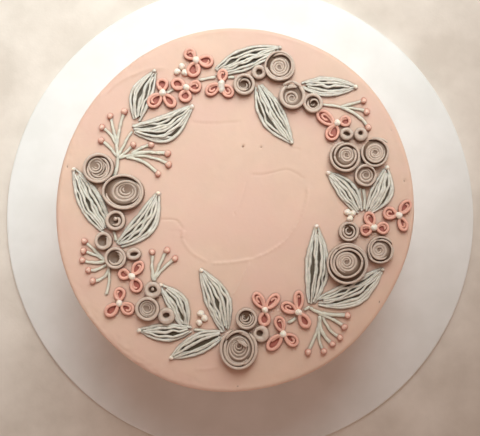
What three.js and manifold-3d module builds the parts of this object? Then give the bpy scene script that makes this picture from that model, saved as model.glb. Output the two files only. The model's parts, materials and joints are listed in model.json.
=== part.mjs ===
// A round frosted cake on a thin round board, with a piped wreath of rolled roses, leaves,
// three-petal flowers and berry sprays on its top. Millimetres, +Z up.
// The origin is the centre of the board's underside. +Y is the top of the wreath as it is looked at.
import * as THREE from "three";
import { mergeVertices } from "three/addons/utils/BufferGeometryUtils.js";
import Module from "manifold-3d";

const wasm = await Module();
wasm.setup();

// Board and cake
const BOARD = { radius: 152.5, thickness: 4, rimFillet: 1.2, sides: 64 };
const CAKE = { radius: 103, height: 98, sides: 72 };
// How far from round the cake was smoothed: a share of its radius, and where its long way points
const CAKE_OVAL = { share: 0.014, angle: 66 };
const CAKE_EDGE_ROUNDING = 2.4;
const CAKE_TOP = BOARD.thickness + CAKE.height;

// Piped pieces
const PIECE_GAP = 0.3;
const ROSE = { baseHeight: 3.6, heightPerWidth: 0.17, foot: 0.9, twist: 0.07, unevenness: 0.035 };
const LEAF = { height: 3.6, edgeHeight: 1.3, grooveDepth: 0.9, strands: 4, stations: 8, blunt: 0.07 };
const PETAL = { length: 8.6, width: 6.8, height: 3.4, lip: 1.5, hollow: 1.4, sides: 8, reach: 0.9 };
const PEARL = { radius: 1.7, height: 3.2, sides: 5 };
const PEARL_BED = { radius: 1.9, height: 1.9, sides: 6, sink: 0.3 };
const STEM = { width: 1.7, height: 1.5, steps: 2 };
const BERRY = { radius: 1.9, height: 3.3, sides: 5 };

const COLOURS = {
  board: { color: 0xf2efea, roughness: 0.35, metalness: 0 },
  frosting: { color: 0xe3b9a0, roughness: 0.55, metalness: 0 },
  rose: { color: 0xaea196, roughness: 0.6, metalness: 0 },
  leaf: { color: 0xbec5b8, roughness: 0.6, metalness: 0 },
  petal: { color: 0xe39a86, roughness: 0.6, metalness: 0 },
  spray: { color: 0xc9c3b2, roughness: 0.6, metalness: 0 },
};

// Where each piece of the wreath lies, in millimetres from the cake's centre.
// A rose has its width across, its number of turns and, if it was pressed oval, its stretch along X.
const ROSES = [
  { at: [26.4, 80.4], width: 17.5, turns: 4 },
  { at: [14.4, 77.2], width: 8.2, turns: 1 },
  { at: [5.9, 70.2], width: 12.6, turns: 2 },
  { at: [33.2, 63.4], width: 15.6, turns: 3 },
  { at: [44.9, 59.2], width: 11.4, turns: 2 },
  { at: [64, 41.8], width: 7.4, turns: 1 },
  { at: [72, 41.4], width: 7.6, turns: 1 },
  { at: [63.4, 29.2], width: 18, turns: 4 },
  { at: [80.2, 31.2], width: 16.6, turns: 4 },
  { at: [74.4, 18.2], width: 12.6, turns: 2 },
  { at: [64.8, -13.4], width: 11.6, turns: 2 },
  { at: [63.8, -31.2], width: 23.2, turns: 5 },
  { at: [82.6, -23.8], width: 15.6, turns: 3 },
  { at: [7.2, -62.4], width: 12.4, turns: 3 },
  { at: [15.6, -70.9], width: 9, turns: 1 },
  { at: [3.1, -79], width: 22, turns: 5 },
  { at: [-45.6, -46.4], width: 9.6, turns: 1 },
  { at: [-48.3, -57], width: 13.6, turns: 3 },
  { at: [-37.8, -61], width: 9.6, turns: 1 },
  { at: [-77.3, 22.8], width: 16.4, turns: 4 },
  { at: [-61.9, 9.5], width: 22, turns: 5, stretch: 1.08 },
  { at: [-66.8, -6.8], width: 11.2, turns: 2 },
  { at: [-73.7, -18.6], width: 10.2, turns: 1 },
  { at: [-66.8, -28.2], width: 12.2, turns: 2 },
  { at: [-56.6, -26], width: 7.6, turns: 1 },
];

// A leaf runs from its base to its tip. Its belly is how far its middle is bowed to the left of that way.
const LEAVES = [
  { base: [-55.3, 50.4], tip: [-45.7, 76.6], width: 12, belly: 2.2 },
  { base: [-57.7, 45], tip: [-24.1, 57.7], width: 15.4, belly: -6.3 },
  { base: [-7.8, 79.1], tip: [25.9, 91.3], width: 12.8, belly: 0.6 },
  { base: [13.9, 69.9], tip: [32.6, 37.6], width: 14.2, belly: -1.8 },
  { base: [39, 69.9], tip: [68.9, 68.8], width: 11.5, belly: -0.4 },
  { base: [71.3, -2.1], tip: [53.9, 19.5], width: 11.4, belly: -2 },
  { base: [76.2, -2.4], tip: [86.5, 22.4], width: 12.6, belly: -2.6 },
  { base: [44, -53.8], tip: [46.8, -10.8], width: 13.4, belly: -1.8 },
  { base: [47.6, -53.2], tip: [83.4, -34.9], width: 14.5, belly: -4.4 },
  { base: [-4.7, -69.1], tip: [-18.1, -35.6], width: 14.2, belly: -2.4 },
  { base: [-6, -72.2], tip: [-35.6, -85.4], width: 12.2, belly: -0.8 },
  { base: [-27.1, -67.6], tip: [-41.1, -43.9], width: 11.6, belly: -2.8 },
  { base: [-23.7, -68.5], tip: [-52.8, -69.1], width: 9.8, belly: 1.5 },
  { base: [-71.9, -13.4], tip: [-90.8, 22], width: 13.8, belly: 0.5 },
  { base: [-65.3, -20.9], tip: [-43.1, 8.2], width: 13.4, belly: -4.5 },
];

// A flower has the ways in which its three petals point, in degrees from +X, and its size beside the others.
const FLOWERS = [
  { at: [-21.4, 84.4], petals: [129, -3, 258] },
  { at: [-40.4, 65.7], petals: [88, 221, 310] },
  { at: [-26.9, 68.7], petals: [150, 14, 263] },
  { at: [-6.9, 70.9], petals: [87, 212, 314] },
  { at: [58.7, 48.2], petals: [161, 21, 246], size: 1.15 },
  { at: [93.2, -4.3], petals: [168, 54, 294] },
  { at: [79.1, -11.2], petals: [113, -2, 202] },
  { at: [17.7, -57.5], petals: [124, 48, 270] },
  { at: [36.6, -58.8], petals: [88, 153, 300] },
  { at: [27.8, -70.9], petals: [105, 227, 327] },
  { at: [-57.5, -38.6], petals: [58, 164, 295] },
  { at: [-64.5, -53.7], petals: [84, 227, 330] },
];

// A spray is stems that fan out, each through its bend, and a berry on the end of all but the bare ones.
const SPRAYS = [
  {
    stems: [
      { from: [-66.2, 28.3], bend: [-67, 40], to: [-70.4, 52.7] },
      { from: [-66.6, 36], bend: [-69.6, 42.6], to: [-75, 46.3] },
      { from: [-66.2, 29.6], bend: [-69.6, 34], to: [-75.5, 38.7] },
      { from: [-66.6, 35], bend: [-66, 46], to: [-62.3, 55.2] },
      { from: [-66.2, 28.3], bend: [-63, 36], to: [-58.8, 42.4], bare: true },
      { from: [-66.2, 28.3], bend: [-60.4, 33], to: [-57.2, 36.2] },
      { from: [-58.8, 30.9], bend: [-53.1, 34.8], to: [-47, 36.2] },
      { from: [-66, 28.4], bend: [-50.3, 33.7], to: [-37.5, 31.1] },
      { from: [-58.8, 29.8], bend: [-46.7, 30.9], to: [-37, 24.8] },
      { from: [-61.6, 29], bend: [-51.7, 28.7], to: [-43, 19.7] },
      { from: [-66.9, 21.3], bend: [-65.5, 24.5], to: [-66, 29], bare: true },
    ],
  },
  {
    stems: [
      { from: [-72.6, -29.6], bend: [-79, -24.4], to: [-84.7, -18.6] },
      { from: [-72.6, -29.6], bend: [-78.6, -26], to: [-85.2, -24.2] },
      { from: [-72.6, -29.6], bend: [-78.6, -32.4], to: [-85.8, -29.4] },
      { from: [-71.6, -31.6], bend: [-76.4, -35.8], to: [-82.4, -35] },
      { from: [-70.6, -33], bend: [-72.6, -41.4], to: [-79.8, -41.2] },
      { from: [-72.6, -29.6], bend: [-68.6, -34], to: [-72.3, -49.6], bare: true },
    ],
  },
  {
    stems: [
      { from: [51.4, 58.6], bend: [66.4, 56.4], to: [76.2, 45.6] },
      { from: [60, 57], bend: [66, 59.4], to: [73.8, 61] },
      { from: [61, 56.6], bend: [68, 57.4], to: [75.5, 54.6] },
    ],
  },
  {
    stems: [
      { from: [43.6, -56.8], bend: [51, -61.4], to: [64.2, -60.5] },
      { from: [47.4, -59.6], bend: [56, -61.6], to: [62.3, -67] },
      { from: [50, -60.8], bend: [53.4, -70], to: [59.9, -72.9] },
      { from: [48.8, -60.4], bend: [47.4, -71.4], to: [55.6, -76.5] },
      { from: [48.8, -60.4], bend: [46, -74], to: [50.7, -80.6] },
      { from: [48.8, -60.4], bend: [48, -68.4], to: [41.9, -81.1] },
    ],
  },
  {
    stems: [
      { from: [-45.3, -41.6], bend: [-46.6, -33], to: [-46.2, -24.9] },
      { from: [-45.3, -41.6], bend: [-42.4, -32.4], to: [-37.8, -23.8] },
      { from: [-45.3, -41.6], bend: [-40.4, -33.4], to: [-33.2, -28.5] },
    ],
  },
];

// Loose pearls and short bare stems, small enough to be one with the frosting.
const PEARLS = [
  [-29.6, 81], [-27.8, 77.4], [-32.2, 78],
  [64.4, -2.4], [67.2, -3.2], [65.8, -6],
  [-18.5, -59.5], [-16.4, -62.2], [-19.4, -64.8],
];
const SHORT_STEMS = [
  { from: [-19.8, 73], bend: [-15, 74.6], to: [-10.2, 74.8] },
  { from: [-3.6, 74.7], bend: [-1.6, 74.5], to: [0.6, 74.7] },
  { from: [73.8, -1.2], bend: [74.3, 5], to: [73.6, 11.2] },
  { from: [30.4, -64.8], bend: [33, -63.6], to: [35.3, -62.1] },
  { from: [-22.8, -68.6], bend: [-14, -68.8], to: [-7.4, -71.4] },
  { from: [-68.2, -12.9], bend: [-67.6, -16], to: [-66.6, -18.6] },
];

const radians = THREE.MathUtils.degToRad;

// A seeded draw from 0 to 1, so that the unevenness is the same in each build.
function seededDraw(seed) {
  let state = seed >>> 0;
  return () => {
    state = (state * 1664525 + 1013904223) >>> 0;
    return state / 4294967296;
  };
}

// A geometry from a list of points and a list of triangles.
function geometryOf(points, triangles) {
  const geometry = new THREE.BufferGeometry();
  const positions = new Float32Array(points.flatMap((p) => [p.x, p.y, p.z]));
  geometry.setAttribute("position", new THREE.BufferAttribute(positions, 3));
  geometry.setIndex(triangles);
  return geometry;
}

// A closed skin through rings of equal length, ended by a fan from the middle of the first and last ring.
// Each ring runs counterclockwise as seen from the last one.
function skin(rings) {
  const count = rings[0].length;
  const points = rings.flat();
  const triangles = [];
  for (let r = 0; r + 1 < rings.length; r++) {
    for (let k = 0; k < count; k++) {
      const a = r * count + k;
      const b = r * count + ((k + 1) % count);
      triangles.push(a, b, b + count, a, b + count, a + count);
    }
  }
  const lastStart = (rings.length - 1) * count;
  const firstMiddle = points.push(middleOf(rings[0])) - 1;
  const lastMiddle = points.push(middleOf(rings[rings.length - 1])) - 1;
  for (let k = 0; k < count; k++) {
    const next = (k + 1) % count;
    triangles.push(firstMiddle, next, k);
    triangles.push(lastMiddle, lastStart + k, lastStart + next);
  }
  return geometryOf(points, triangles);
}

function middleOf(ring) {
  const sum = ring.reduce((total, p) => total.add(p), new THREE.Vector3());
  return sum.divideScalar(ring.length);
}

function solidOf(geometry) {
  const bare = geometry.clone();
  bare.deleteAttribute("normal");
  bare.deleteAttribute("uv");
  const merged = mergeVertices(bare, 1e-4);
  return new wasm.Manifold(
    new wasm.Mesh({
      numProp: 3,
      vertProperties: merged.attributes.position.array,
      triVerts: new Uint32Array(merged.index.array),
    }),
  );
}

function geometryOfSolid(solid) {
  const mesh = solid.getMesh();
  const geometry = new THREE.BufferGeometry();
  geometry.setAttribute("position", new THREE.BufferAttribute(mesh.vertProperties, 3));
  geometry.setIndex(new THREE.BufferAttribute(mesh.triVerts, 1));
  geometry.computeVertexNormals();
  return geometry;
}

// Slivers that a join leaves are smoothed away when they are finer than this.
const SLIVER = 0.04;

const joined = (solids) => solids.reduce((whole, solid) => whole.add(solid)).simplify(SLIVER);

// Cuts away what other pieces need, and drops any scrap that the cut leaves loose.
function clearOf(solid, keepOuts) {
  const cut = keepOuts.reduce((left, keepOut) => left.subtract(keepOut), solid);
  const bodies = cut.decompose();
  return bodies.reduce((largest, body) => (body.volume() > largest.volume() ? body : largest));
}

// The space over an outline, from under the frosting's top to over the tallest piece.
function columnOver(outline) {
  const floor = outline.map(([x, y]) => new THREE.Vector3(x, y, -1));
  const roof = outline.map(([x, y]) => new THREE.Vector3(x, y, 20));
  return solidOf(skin([floor, roof]));
}

// Board: a thin disc with a softened rim
function makeBoard() {
  const { radius, thickness, rimFillet, sides } = BOARD;
  const profile = [
    [0, 0],
    [radius - rimFillet / 2, 0],
    [radius, rimFillet / 2],
    [radius, thickness - rimFillet],
    [radius - rimFillet * 0.3, thickness - rimFillet * 0.3],
    [radius - rimFillet, thickness],
    [0, thickness],
  ].map(([r, z]) => new THREE.Vector2(r, z));
  return new THREE.LatheGeometry(profile, sides).rotateX(Math.PI / 2);
}

// The cake's outline as it was smoothed by hand: slightly oval, with slow waves
function cakeRadiusAt(angle) {
  const oval = CAKE_OVAL.share * Math.cos(2 * (angle - radians(CAKE_OVAL.angle)));
  const waves = 0.003 * Math.sin(3 * angle + 0.8) + 0.002 * Math.sin(7 * angle + 2.1);
  return CAKE.radius * (1 + oval + waves);
}

// Cake: a drum of frosting with a rounded edge, its side slightly uneven from the scraper
function makeCake() {
  const { height, sides } = CAKE;
  const rounding = CAKE_EDGE_ROUNDING;
  const levels = [
    { z: 0, inset: 0.4 },
    { z: height * 0.35, inset: 0, sway: 0.5 },
    { z: height * 0.7, inset: 0.2, sway: 0.5 },
    { z: height - rounding, inset: 0 },
    { z: height - rounding * 0.35, inset: rounding * 0.25 },
    { z: height, inset: rounding * 0.85 },
  ];
  const rings = levels.map(({ z, inset, sway = 0 }) =>
    Array.from({ length: sides }, (_, k) => {
      const angle = (2 * Math.PI * k) / sides;
      const radius = cakeRadiusAt(angle) - inset + sway * Math.sin(5 * angle + z);
      return new THREE.Vector3(radius * Math.cos(angle), radius * Math.sin(angle), z);
    }),
  );
  return skin(rings);
}

// Low blob: a berry or a pearl, flat where it rests
function blob({ radius, height, sides }, [x, y], z = 0) {
  const profile = [
    [0, 0],
    [radius * 0.6, 0],
    [radius, height * 0.42],
    [radius * 0.72, height * 0.84],
    [0, height],
  ].map(([r, h]) => new THREE.Vector2(r, h));
  return solidOf(new THREE.LatheGeometry(profile, sides).rotateX(Math.PI / 2).translate(x, y, z));
}

// Stem: a thread of icing with a flat foot, from one point through a bend to another
function stem({ from, bend, to }) {
  const curve = new THREE.QuadraticBezierCurve3(
    new THREE.Vector3(...from, 0),
    new THREE.Vector3(...bend, 0),
    new THREE.Vector3(...to, 0),
  );
  const section = [[0.5, 0], [0.3, 1], [-0.3, 1], [-0.5, 0]];
  const rings = Array.from({ length: STEM.steps + 1 }, (_, step) => {
    const t = step / STEM.steps;
    const centre = curve.getPoint(t);
    const along = curve.getTangent(t);
    const side = new THREE.Vector3(along.y, -along.x, 0);
    return section.map(([across, up]) =>
      centre.clone().addScaledVector(side, -across * STEM.width).setZ(up * STEM.height),
    );
  });
  return solidOf(skin(rings));
}

// Rolled rose: a wall of icing wound outwards in a spiral, rising to a high outer lip round a bowl.
// Its rows are the spiral's ridges and the grooves between them, and each row runs on into the
// next but one where the turn closes.
function rose({ at, width, turns, stretch = 1 }, index) {
  const draw = seededDraw(index + 11);
  const sides = Math.round(6.5 + Math.sqrt(width) * 1.4);
  const rows = 2 * turns;
  const height = ROSE.baseHeight + ROSE.heightPerWidth * width;
  const start = draw() * 2 * Math.PI;
  const lean = [draw() * 2 * Math.PI, draw() * 2 * Math.PI];
  const innerTurns = 0.45;

  const pointAt = (row, column) => {
    const turn = row / 2 + column / sides;
    const share = (turn + innerTurns) / (turns + 1 + innerTurns);
    const angle = start + (2 * Math.PI * column) / sides - ROSE.twist * row;
    const wobble = 1 + ROSE.unevenness * (Math.sin(2 * angle + lean[0]) + 0.6 * Math.sin(3 * angle + lean[1]));
    const radius = (width / 2) * (1 - (1 - share) ** 1.35) * wobble;
    const ridge = height * (0.62 + 0.38 * share ** 1.5);
    const groove = row % 2 ? height * (0.12 + 0.3 * share) : 0;
    return new THREE.Vector3(
      at[0] + radius * Math.cos(angle) * stretch,
      at[1] + (radius * Math.sin(angle)) / stretch,
      ridge - groove,
    );
  };

  // Column 0 holds two rows more than the others, which close the last turn.
  const points = [];
  const indexOf = new Map();
  for (let column = 0; column < sides; column++) {
    for (let row = 0; row <= rows + (column === 0 ? 2 : 0); row++) {
      indexOf.set(`${row},${column}`, points.push(pointAt(row, column)) - 1);
    }
  }
  const vertex = (row, column) =>
    column === sides ? indexOf.get(`${row + 2},0`) : indexOf.get(`${row},${column}`);

  const triangles = [];
  for (let row = 0; row < rows; row++) {
    for (let column = 0; column < sides; column++) {
      const [a, b] = [vertex(row, column), vertex(row + 1, column)];
      const [c, d] = [vertex(row + 1, column + 1), vertex(row, column + 1)];
      triangles.push(a, b, c, a, c, d);
    }
  }
  const loopOf = (row) => [
    ...Array.from({ length: sides }, (_, column) => vertex(row, column)),
    vertex(row + 2, 0),
    vertex(row + 1, 0),
  ];
  const heart = points.push(new THREE.Vector3(at[0], at[1], height * 0.66)) - 1;
  fan(triangles, heart, loopOf(0), true);

  const lipLoop = loopOf(rows);
  const footLoop = lipLoop.map((k) => {
    const lip = points[k];
    const foot = new THREE.Vector3(
      at[0] + (lip.x - at[0]) * ROSE.foot,
      at[1] + (lip.y - at[1]) * ROSE.foot,
      0,
    );
    return points.push(foot) - 1;
  });
  for (let k = 0; k < lipLoop.length; k++) {
    const next = (k + 1) % lipLoop.length;
    triangles.push(footLoop[k], footLoop[next], lipLoop[next], footLoop[k], lipLoop[next], lipLoop[k]);
  }
  fan(triangles, points.push(new THREE.Vector3(at[0], at[1], 0)) - 1, footLoop, false);

  const keepOut = columnOver(
    lipLoop.map((k) => grownFrom(at, [points[k].x, points[k].y], PIECE_GAP * 1.15)),
  );
  return { solid: solidOf(geometryOf(points, triangles)), keepOut };
}

// Triangles from a middle point to a loop, seen from above if facingUp.
function fan(triangles, middle, loop, facingUp) {
  loop.forEach((k, i) => {
    const next = loop[(i + 1) % loop.length];
    triangles.push(...(facingUp ? [middle, k, next] : [middle, next, k]));
  });
}

// A point moved away from a centre by a distance.
function grownFrom([cx, cy], [x, y], distance) {
  const reach = Math.hypot(x - cx, y - cy);
  const scale = (reach + distance) / reach;
  return [cx + (x - cx) * scale, cy + (y - cy) * scale];
}

// Leaf: strands of icing laid side by side from the base to the tip, highest along the middle
function leaf({ base, tip, width, belly }) {
  const start = new THREE.Vector2(...base);
  const end = new THREE.Vector2(...tip);
  const along = end.clone().sub(start).normalize();
  const left = new THREE.Vector2(-along.y, along.x);
  const half = width / 2;
  const tops = 2 * LEAF.strands - 1;

  const placeAt = (t, across) => {
    const bow = belly * Math.sin(Math.PI * t);
    const spread = half * Math.sin(Math.PI * (LEAF.blunt + (1 - 1.35 * LEAF.blunt) * t)) ** 0.9;
    return start.clone().lerp(end, t).addScaledVector(left, bow + across * spread);
  };
  const rings = Array.from({ length: LEAF.stations }, (_, station) => {
    const t = station / (LEAF.stations - 1);
    const rise = 0.55 + 0.45 * Math.sin(Math.PI * t);
    const ring = [];
    for (let k = 0; k <= tops + 1; k++) {
      const across = 1 - (2 * k) / (tops + 1);
      const place = placeAt(t, across);
      const onEdge = k === 0 || k === tops + 1;
      const crown = LEAF.edgeHeight + (LEAF.height - LEAF.edgeHeight) * (1 - across * across) ** 0.6;
      const groove = k % 2 === 0 ? LEAF.grooveDepth : 0;
      ring.push(new THREE.Vector3(place.x, place.y, onEdge ? 0 : (crown - groove) * rise));
    }
    return ring;
  });
  const outline = [
    ...rings.map((ring) => ring[0]),
    ...rings.map((ring) => ring[ring.length - 1]).reverse(),
  ];
  const middle = middleOf(outline);
  const keepOut = columnOver(
    outline.map((p) => grownFrom([middle.x, middle.y], [p.x, p.y], PIECE_GAP * 1.6)).reverse(),
  );
  return { solid: solidOf(skin(rings)), keepOut };
}

// Flower: three petals, each an oval loop of icing round a hollow, and a pearl where they meet
function flower({ at, petals, size = 1 }) {
  const { height, lip, hollow, sides } = PETAL;
  const [length, width, reach] = [PETAL.length, PETAL.width, PETAL.reach].map((part) => part * size);
  const petalRing = (way, long, wide, z) =>
    Array.from({ length: sides }, (_, k) => {
      const angle = (2 * Math.PI * k) / sides;
      const forward = (long / 2) * Math.cos(angle) + length / 2 + reach;
      const sideways = (wide / 2) * Math.sin(angle) * (1 + 0.16 * Math.cos(angle));
      return new THREE.Vector3(
        at[0] + forward * Math.cos(way) - sideways * Math.sin(way),
        at[1] + forward * Math.sin(way) + sideways * Math.cos(way),
        z,
      );
    });
  const solids = petals.map((degrees) => {
    const way = radians(degrees);
    return solidOf(
      skin([
        petalRing(way, length, width, 0),
        petalRing(way, length - lip, width - lip, height),
        petalRing(way, length - 2.6 * lip, width - 2.6 * lip, height - hollow),
      ]),
    );
  });
  const bed = wasm.Manifold.cylinder(PEARL_BED.height, PEARL_BED.radius, PEARL_BED.radius, PEARL_BED.sides);
  const middle = bed.translate([at[0], at[1], 0]);
  const pearl = blob(PEARL, at, PEARL_BED.height - PEARL_BED.sink);
  const keepOut = joined(
    petals.map((degrees) => {
      const grown = petalRing(radians(degrees), length + 2.4 * PIECE_GAP, width + 2.4 * PIECE_GAP, 0);
      return columnOver(grown.map((p) => [p.x, p.y]));
    }),
  );
  return { solid: joined([...solids, middle, pearl]), keepOut };
}

// Spray: stems that meet at their foot, with a berry on each that isn't bare
function spray({ stems }) {
  const berries = stems.filter(({ bare }) => !bare).map(({ to }) => blob(BERRY, to));
  return { solid: joined([...stems.map(stem), ...berries]) };
}

const cakeOnBoard = new THREE.Group();

function addPiece(name, geometry, colour, lift) {
  const mesh = new THREE.Mesh(geometry, new THREE.MeshStandardMaterial(COLOURS[colour]));
  mesh.name = name;
  mesh.position.z = lift;
  cakeOnBoard.add(mesh);
}

// The loose pearls keep their places. Roses are piped first, then flowers, leaves and sprays, each
// clear of the pieces before it.
const taken = PEARLS.map(([x, y]) => {
  const corners = Array.from({ length: PEARL.sides }, (_, k) => (2 * Math.PI * k) / PEARL.sides);
  const reach = PEARL.radius + 1.5 * PIECE_GAP;
  return columnOver(corners.map((a) => [x + reach * Math.cos(a), y + reach * Math.sin(a)]));
});
function pipe(kind, colour, places, shape) {
  places.forEach((place, index) => {
    const { solid, keepOut } = shape(place, index);
    const name = `${kind}_${String(index + 1).padStart(2, "0")}`;
    addPiece(name, geometryOfSolid(clearOf(solid, taken)), colour, CAKE_TOP);
    if (keepOut) taken.push(keepOut);
  });
}
pipe("rose", "rose", ROSES, rose);
pipe("flower", "petal", FLOWERS, flower);
pipe("leaf", "leaf", LEAVES, leaf);
pipe("spray", "spray", SPRAYS, spray);

const pearlSink = 0.3;
const smallToppings = [
  ...PEARLS.map((at) => blob(PEARL, at, CAKE.height - pearlSink)),
  ...SHORT_STEMS.map((place) =>
    clearOf(stem(place), taken).translate([0, 0, CAKE.height - pearlSink]),
  ),
];
const cake = joined([solidOf(makeCake()), ...smallToppings]);
addPiece("cake", geometryOfSolid(cake), "frosting", BOARD.thickness);
addPiece("board", makeBoard(), "board", 0);

export default cakeOnBoard;
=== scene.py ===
"""Visual model of a frosted cake with a piped wreath, on its thin round board.

Sizes and places are in millimetres from the middle of the board's underside, +Z up, and are
turned into metres as each mesh is built. +Y is the top of the wreath as it is looked at.
"""
from __future__ import annotations

import json
import logging
import math
from dataclasses import dataclass, field
from enum import Enum

import bpy
import numpy as np
from mathutils import Matrix, Vector, noise
from mathutils.kdtree import KDTree

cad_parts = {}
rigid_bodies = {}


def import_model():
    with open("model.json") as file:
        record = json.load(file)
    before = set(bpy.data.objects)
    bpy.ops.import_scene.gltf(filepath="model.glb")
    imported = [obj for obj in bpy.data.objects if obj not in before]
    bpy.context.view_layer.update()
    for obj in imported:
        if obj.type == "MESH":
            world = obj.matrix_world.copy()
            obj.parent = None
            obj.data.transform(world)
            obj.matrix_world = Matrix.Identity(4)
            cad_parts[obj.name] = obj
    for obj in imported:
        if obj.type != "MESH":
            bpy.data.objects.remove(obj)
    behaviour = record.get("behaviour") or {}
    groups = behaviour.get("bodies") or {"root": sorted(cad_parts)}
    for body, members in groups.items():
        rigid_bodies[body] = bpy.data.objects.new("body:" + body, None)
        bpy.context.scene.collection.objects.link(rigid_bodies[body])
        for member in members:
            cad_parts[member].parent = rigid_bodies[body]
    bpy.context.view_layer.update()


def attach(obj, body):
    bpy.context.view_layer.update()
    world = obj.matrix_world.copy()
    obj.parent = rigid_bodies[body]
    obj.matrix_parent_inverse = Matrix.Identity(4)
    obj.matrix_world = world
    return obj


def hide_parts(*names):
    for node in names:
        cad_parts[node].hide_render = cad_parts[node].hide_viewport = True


LOG = logging.getLogger("cake")

METRES = 0.001
BODY = "root"
BOARD_TOP = 4.0
CAKE_TOP = 102.0
# How far the foot of a piped piece goes into the frosting it lies on.
FOOT_SINK = 0.5
# Turns of a wall or a thread are sampled this finely.
STATIONS_PER_TURN = 44

Point = tuple[float, float]
Colour = tuple[float, float, float]


class Roll(Enum):
    """The way in which a wall of icing is rolled, seen from above."""

    COUNTERCLOCKWISE = 1
    CLOCKWISE = -1


class Slot(Enum):
    """Material slots of the part."""

    BOARD = "board"
    FROSTING = "frosting"
    ROSE = "rose"
    LEAF = "leaf"
    PETAL = "petal"
    SPRAY = "spray"


def linear(red: int, green: int, blue: int) -> tuple[float, float, float, float]:
    """A colour as it is seen on a screen, from 0 to 255, in the renderer's linear light."""
    shares = [channel / 255 for channel in (red, green, blue)]
    return (*[s / 12.92 if s <= 0.04045 else ((s + 0.055) / 1.055) ** 2.4 for s in shares], 1.0)


def smooth(share: np.ndarray) -> np.ndarray:
    """A share clipped to 0..1 and eased at both ends."""
    clipped = np.clip(share, 0.0, 1.0)
    return clipped * clipped * (3 - 2 * clipped)


def wander(steps: np.ndarray, knots: float, draw: np.random.Generator) -> np.ndarray:
    """A smooth random walk along a thread.

    Args:
        steps: where along the thread it is wanted, from 0 to 1.
        knots: how many times it may turn over that length.
        draw: the seeded source of its knots.

    Returns:
        A value from -1 to 1 for each step.
    """
    count = max(int(round(knots)), 2)
    heights = draw.uniform(-1, 1, count + 1)
    place = np.clip(steps, 0, 1) * count
    lower = np.minimum(place.astype(int), count - 1)
    blend = (1 - np.cos(math.pi * (place - lower))) / 2
    return heights[lower] * (1 - blend) + heights[lower + 1] * blend


def swell(x: np.ndarray, y: np.ndarray, length: float, seed: int) -> np.ndarray:
    """Slow waves that cross each other over a surface.

    Args:
        x: places along X.
        y: places along Y.
        length: the waves' length in millimetres.
        seed: chooses their directions and phases.

    Returns:
        A height from about -1 to 1 at each place.
    """
    draw = np.random.default_rng(seed)
    total = np.zeros_like(x)
    for angle, phase, stretch in zip(
        draw.uniform(0, math.pi, 7), draw.uniform(0, 2 * math.pi, 7), draw.uniform(0.7, 1.5, 7)
    ):
        along = x * math.cos(angle) + y * math.sin(angle)
        total += np.sin(2 * math.pi * along / (length * stretch) + phase)
    return total / 4


@dataclass
class MeshDraft:
    """Points, faces and tones gathered into one mesh. A tone sets painted shading: 0 gives the groove colour, which is
    painted shade, and 1 gives the crest colour.
    """

    points: list[np.ndarray] = field(default_factory=list)
    tones: list[np.ndarray] = field(default_factory=list)
    faces: list[tuple[int, ...]] = field(default_factory=list)
    count: int = 0

    def add_points(self, points: np.ndarray, tones: np.ndarray) -> int:
        """Keeps points with their tones.

        Args:
            points: places in millimetres, shaped (n, 3).
            tones: a tone for each point.

        Returns:
            The number of the first point.
        """
        first = self.count
        self.points.append(points)
        self.tones.append(tones)
        self.count += len(points)
        return first

    def add_skin(self, rings: np.ndarray, tones: np.ndarray, closed: bool = False) -> None:
        """Adds a skin through rings of equal length, with a fan over each end unless it closes.

        Args:
            rings: points shaped (rows, columns, 3), counterclockwise as seen from the last row.
            tones: a tone for each point, shaped (rows, columns).
            closed: whether the last ring is joined to the first.
        """
        rows, columns = rings.shape[:2]
        first = self.add_points(rings.reshape(-1, 3), tones.reshape(-1))
        corner = first + np.arange(rows * columns).reshape(rows, columns)
        if closed:
            corner = np.vstack([corner, corner[:1]])
        ahead = np.roll(corner, -1, axis=1)
        quads = np.stack([corner[:-1], ahead[:-1], ahead[1:], corner[1:]], axis=-1)
        self.faces.extend(map(tuple, quads.reshape(-1, 4).tolist()))
        if closed:
            return
        ends = np.array([rings[0].mean(axis=0), rings[-1].mean(axis=0)])
        middle = self.add_points(ends, np.array([tones[0].mean(), tones[-1].mean()]))
        for column in range(columns):
            following = (column + 1) % columns
            self.faces.append((middle, int(corner[0, following]), int(corner[0, column])))
            self.faces.append((middle + 1, int(corner[-1, column]), int(corner[-1, following])))

    def build(self, name: str, material: bpy.types.Material, slot: Slot) -> bpy.types.Object:
        """Turns what was gathered into a piece of the model.

        Args:
            name: the piece's name.
            material: its material.
            slot: not used.

        Returns:
            The new object, riding on the part's body.
        """
        points = np.concatenate(self.points) * METRES
        mesh = bpy.data.meshes.new(name)
        mesh.from_pydata(points.tolist(), [], self.faces)
        mesh.polygons.foreach_set("use_smooth", np.ones(len(mesh.polygons), dtype=bool))
        # The tone attribute carries the painted shading that the finishes read.
        tone = mesh.attributes.new("tone", "FLOAT", "POINT")
        tone.data.foreach_set("value", np.concatenate(self.tones).astype(np.float32))
        mesh.materials.append(material)
        mesh.update()
        piece = bpy.data.objects.new(name, mesh)
        bpy.context.scene.collection.objects.link(piece)
        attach(piece, BODY)
        LOG.info("%s: %d faces", name, len(mesh.polygons))
        return piece


# ---- Finishes


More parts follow.
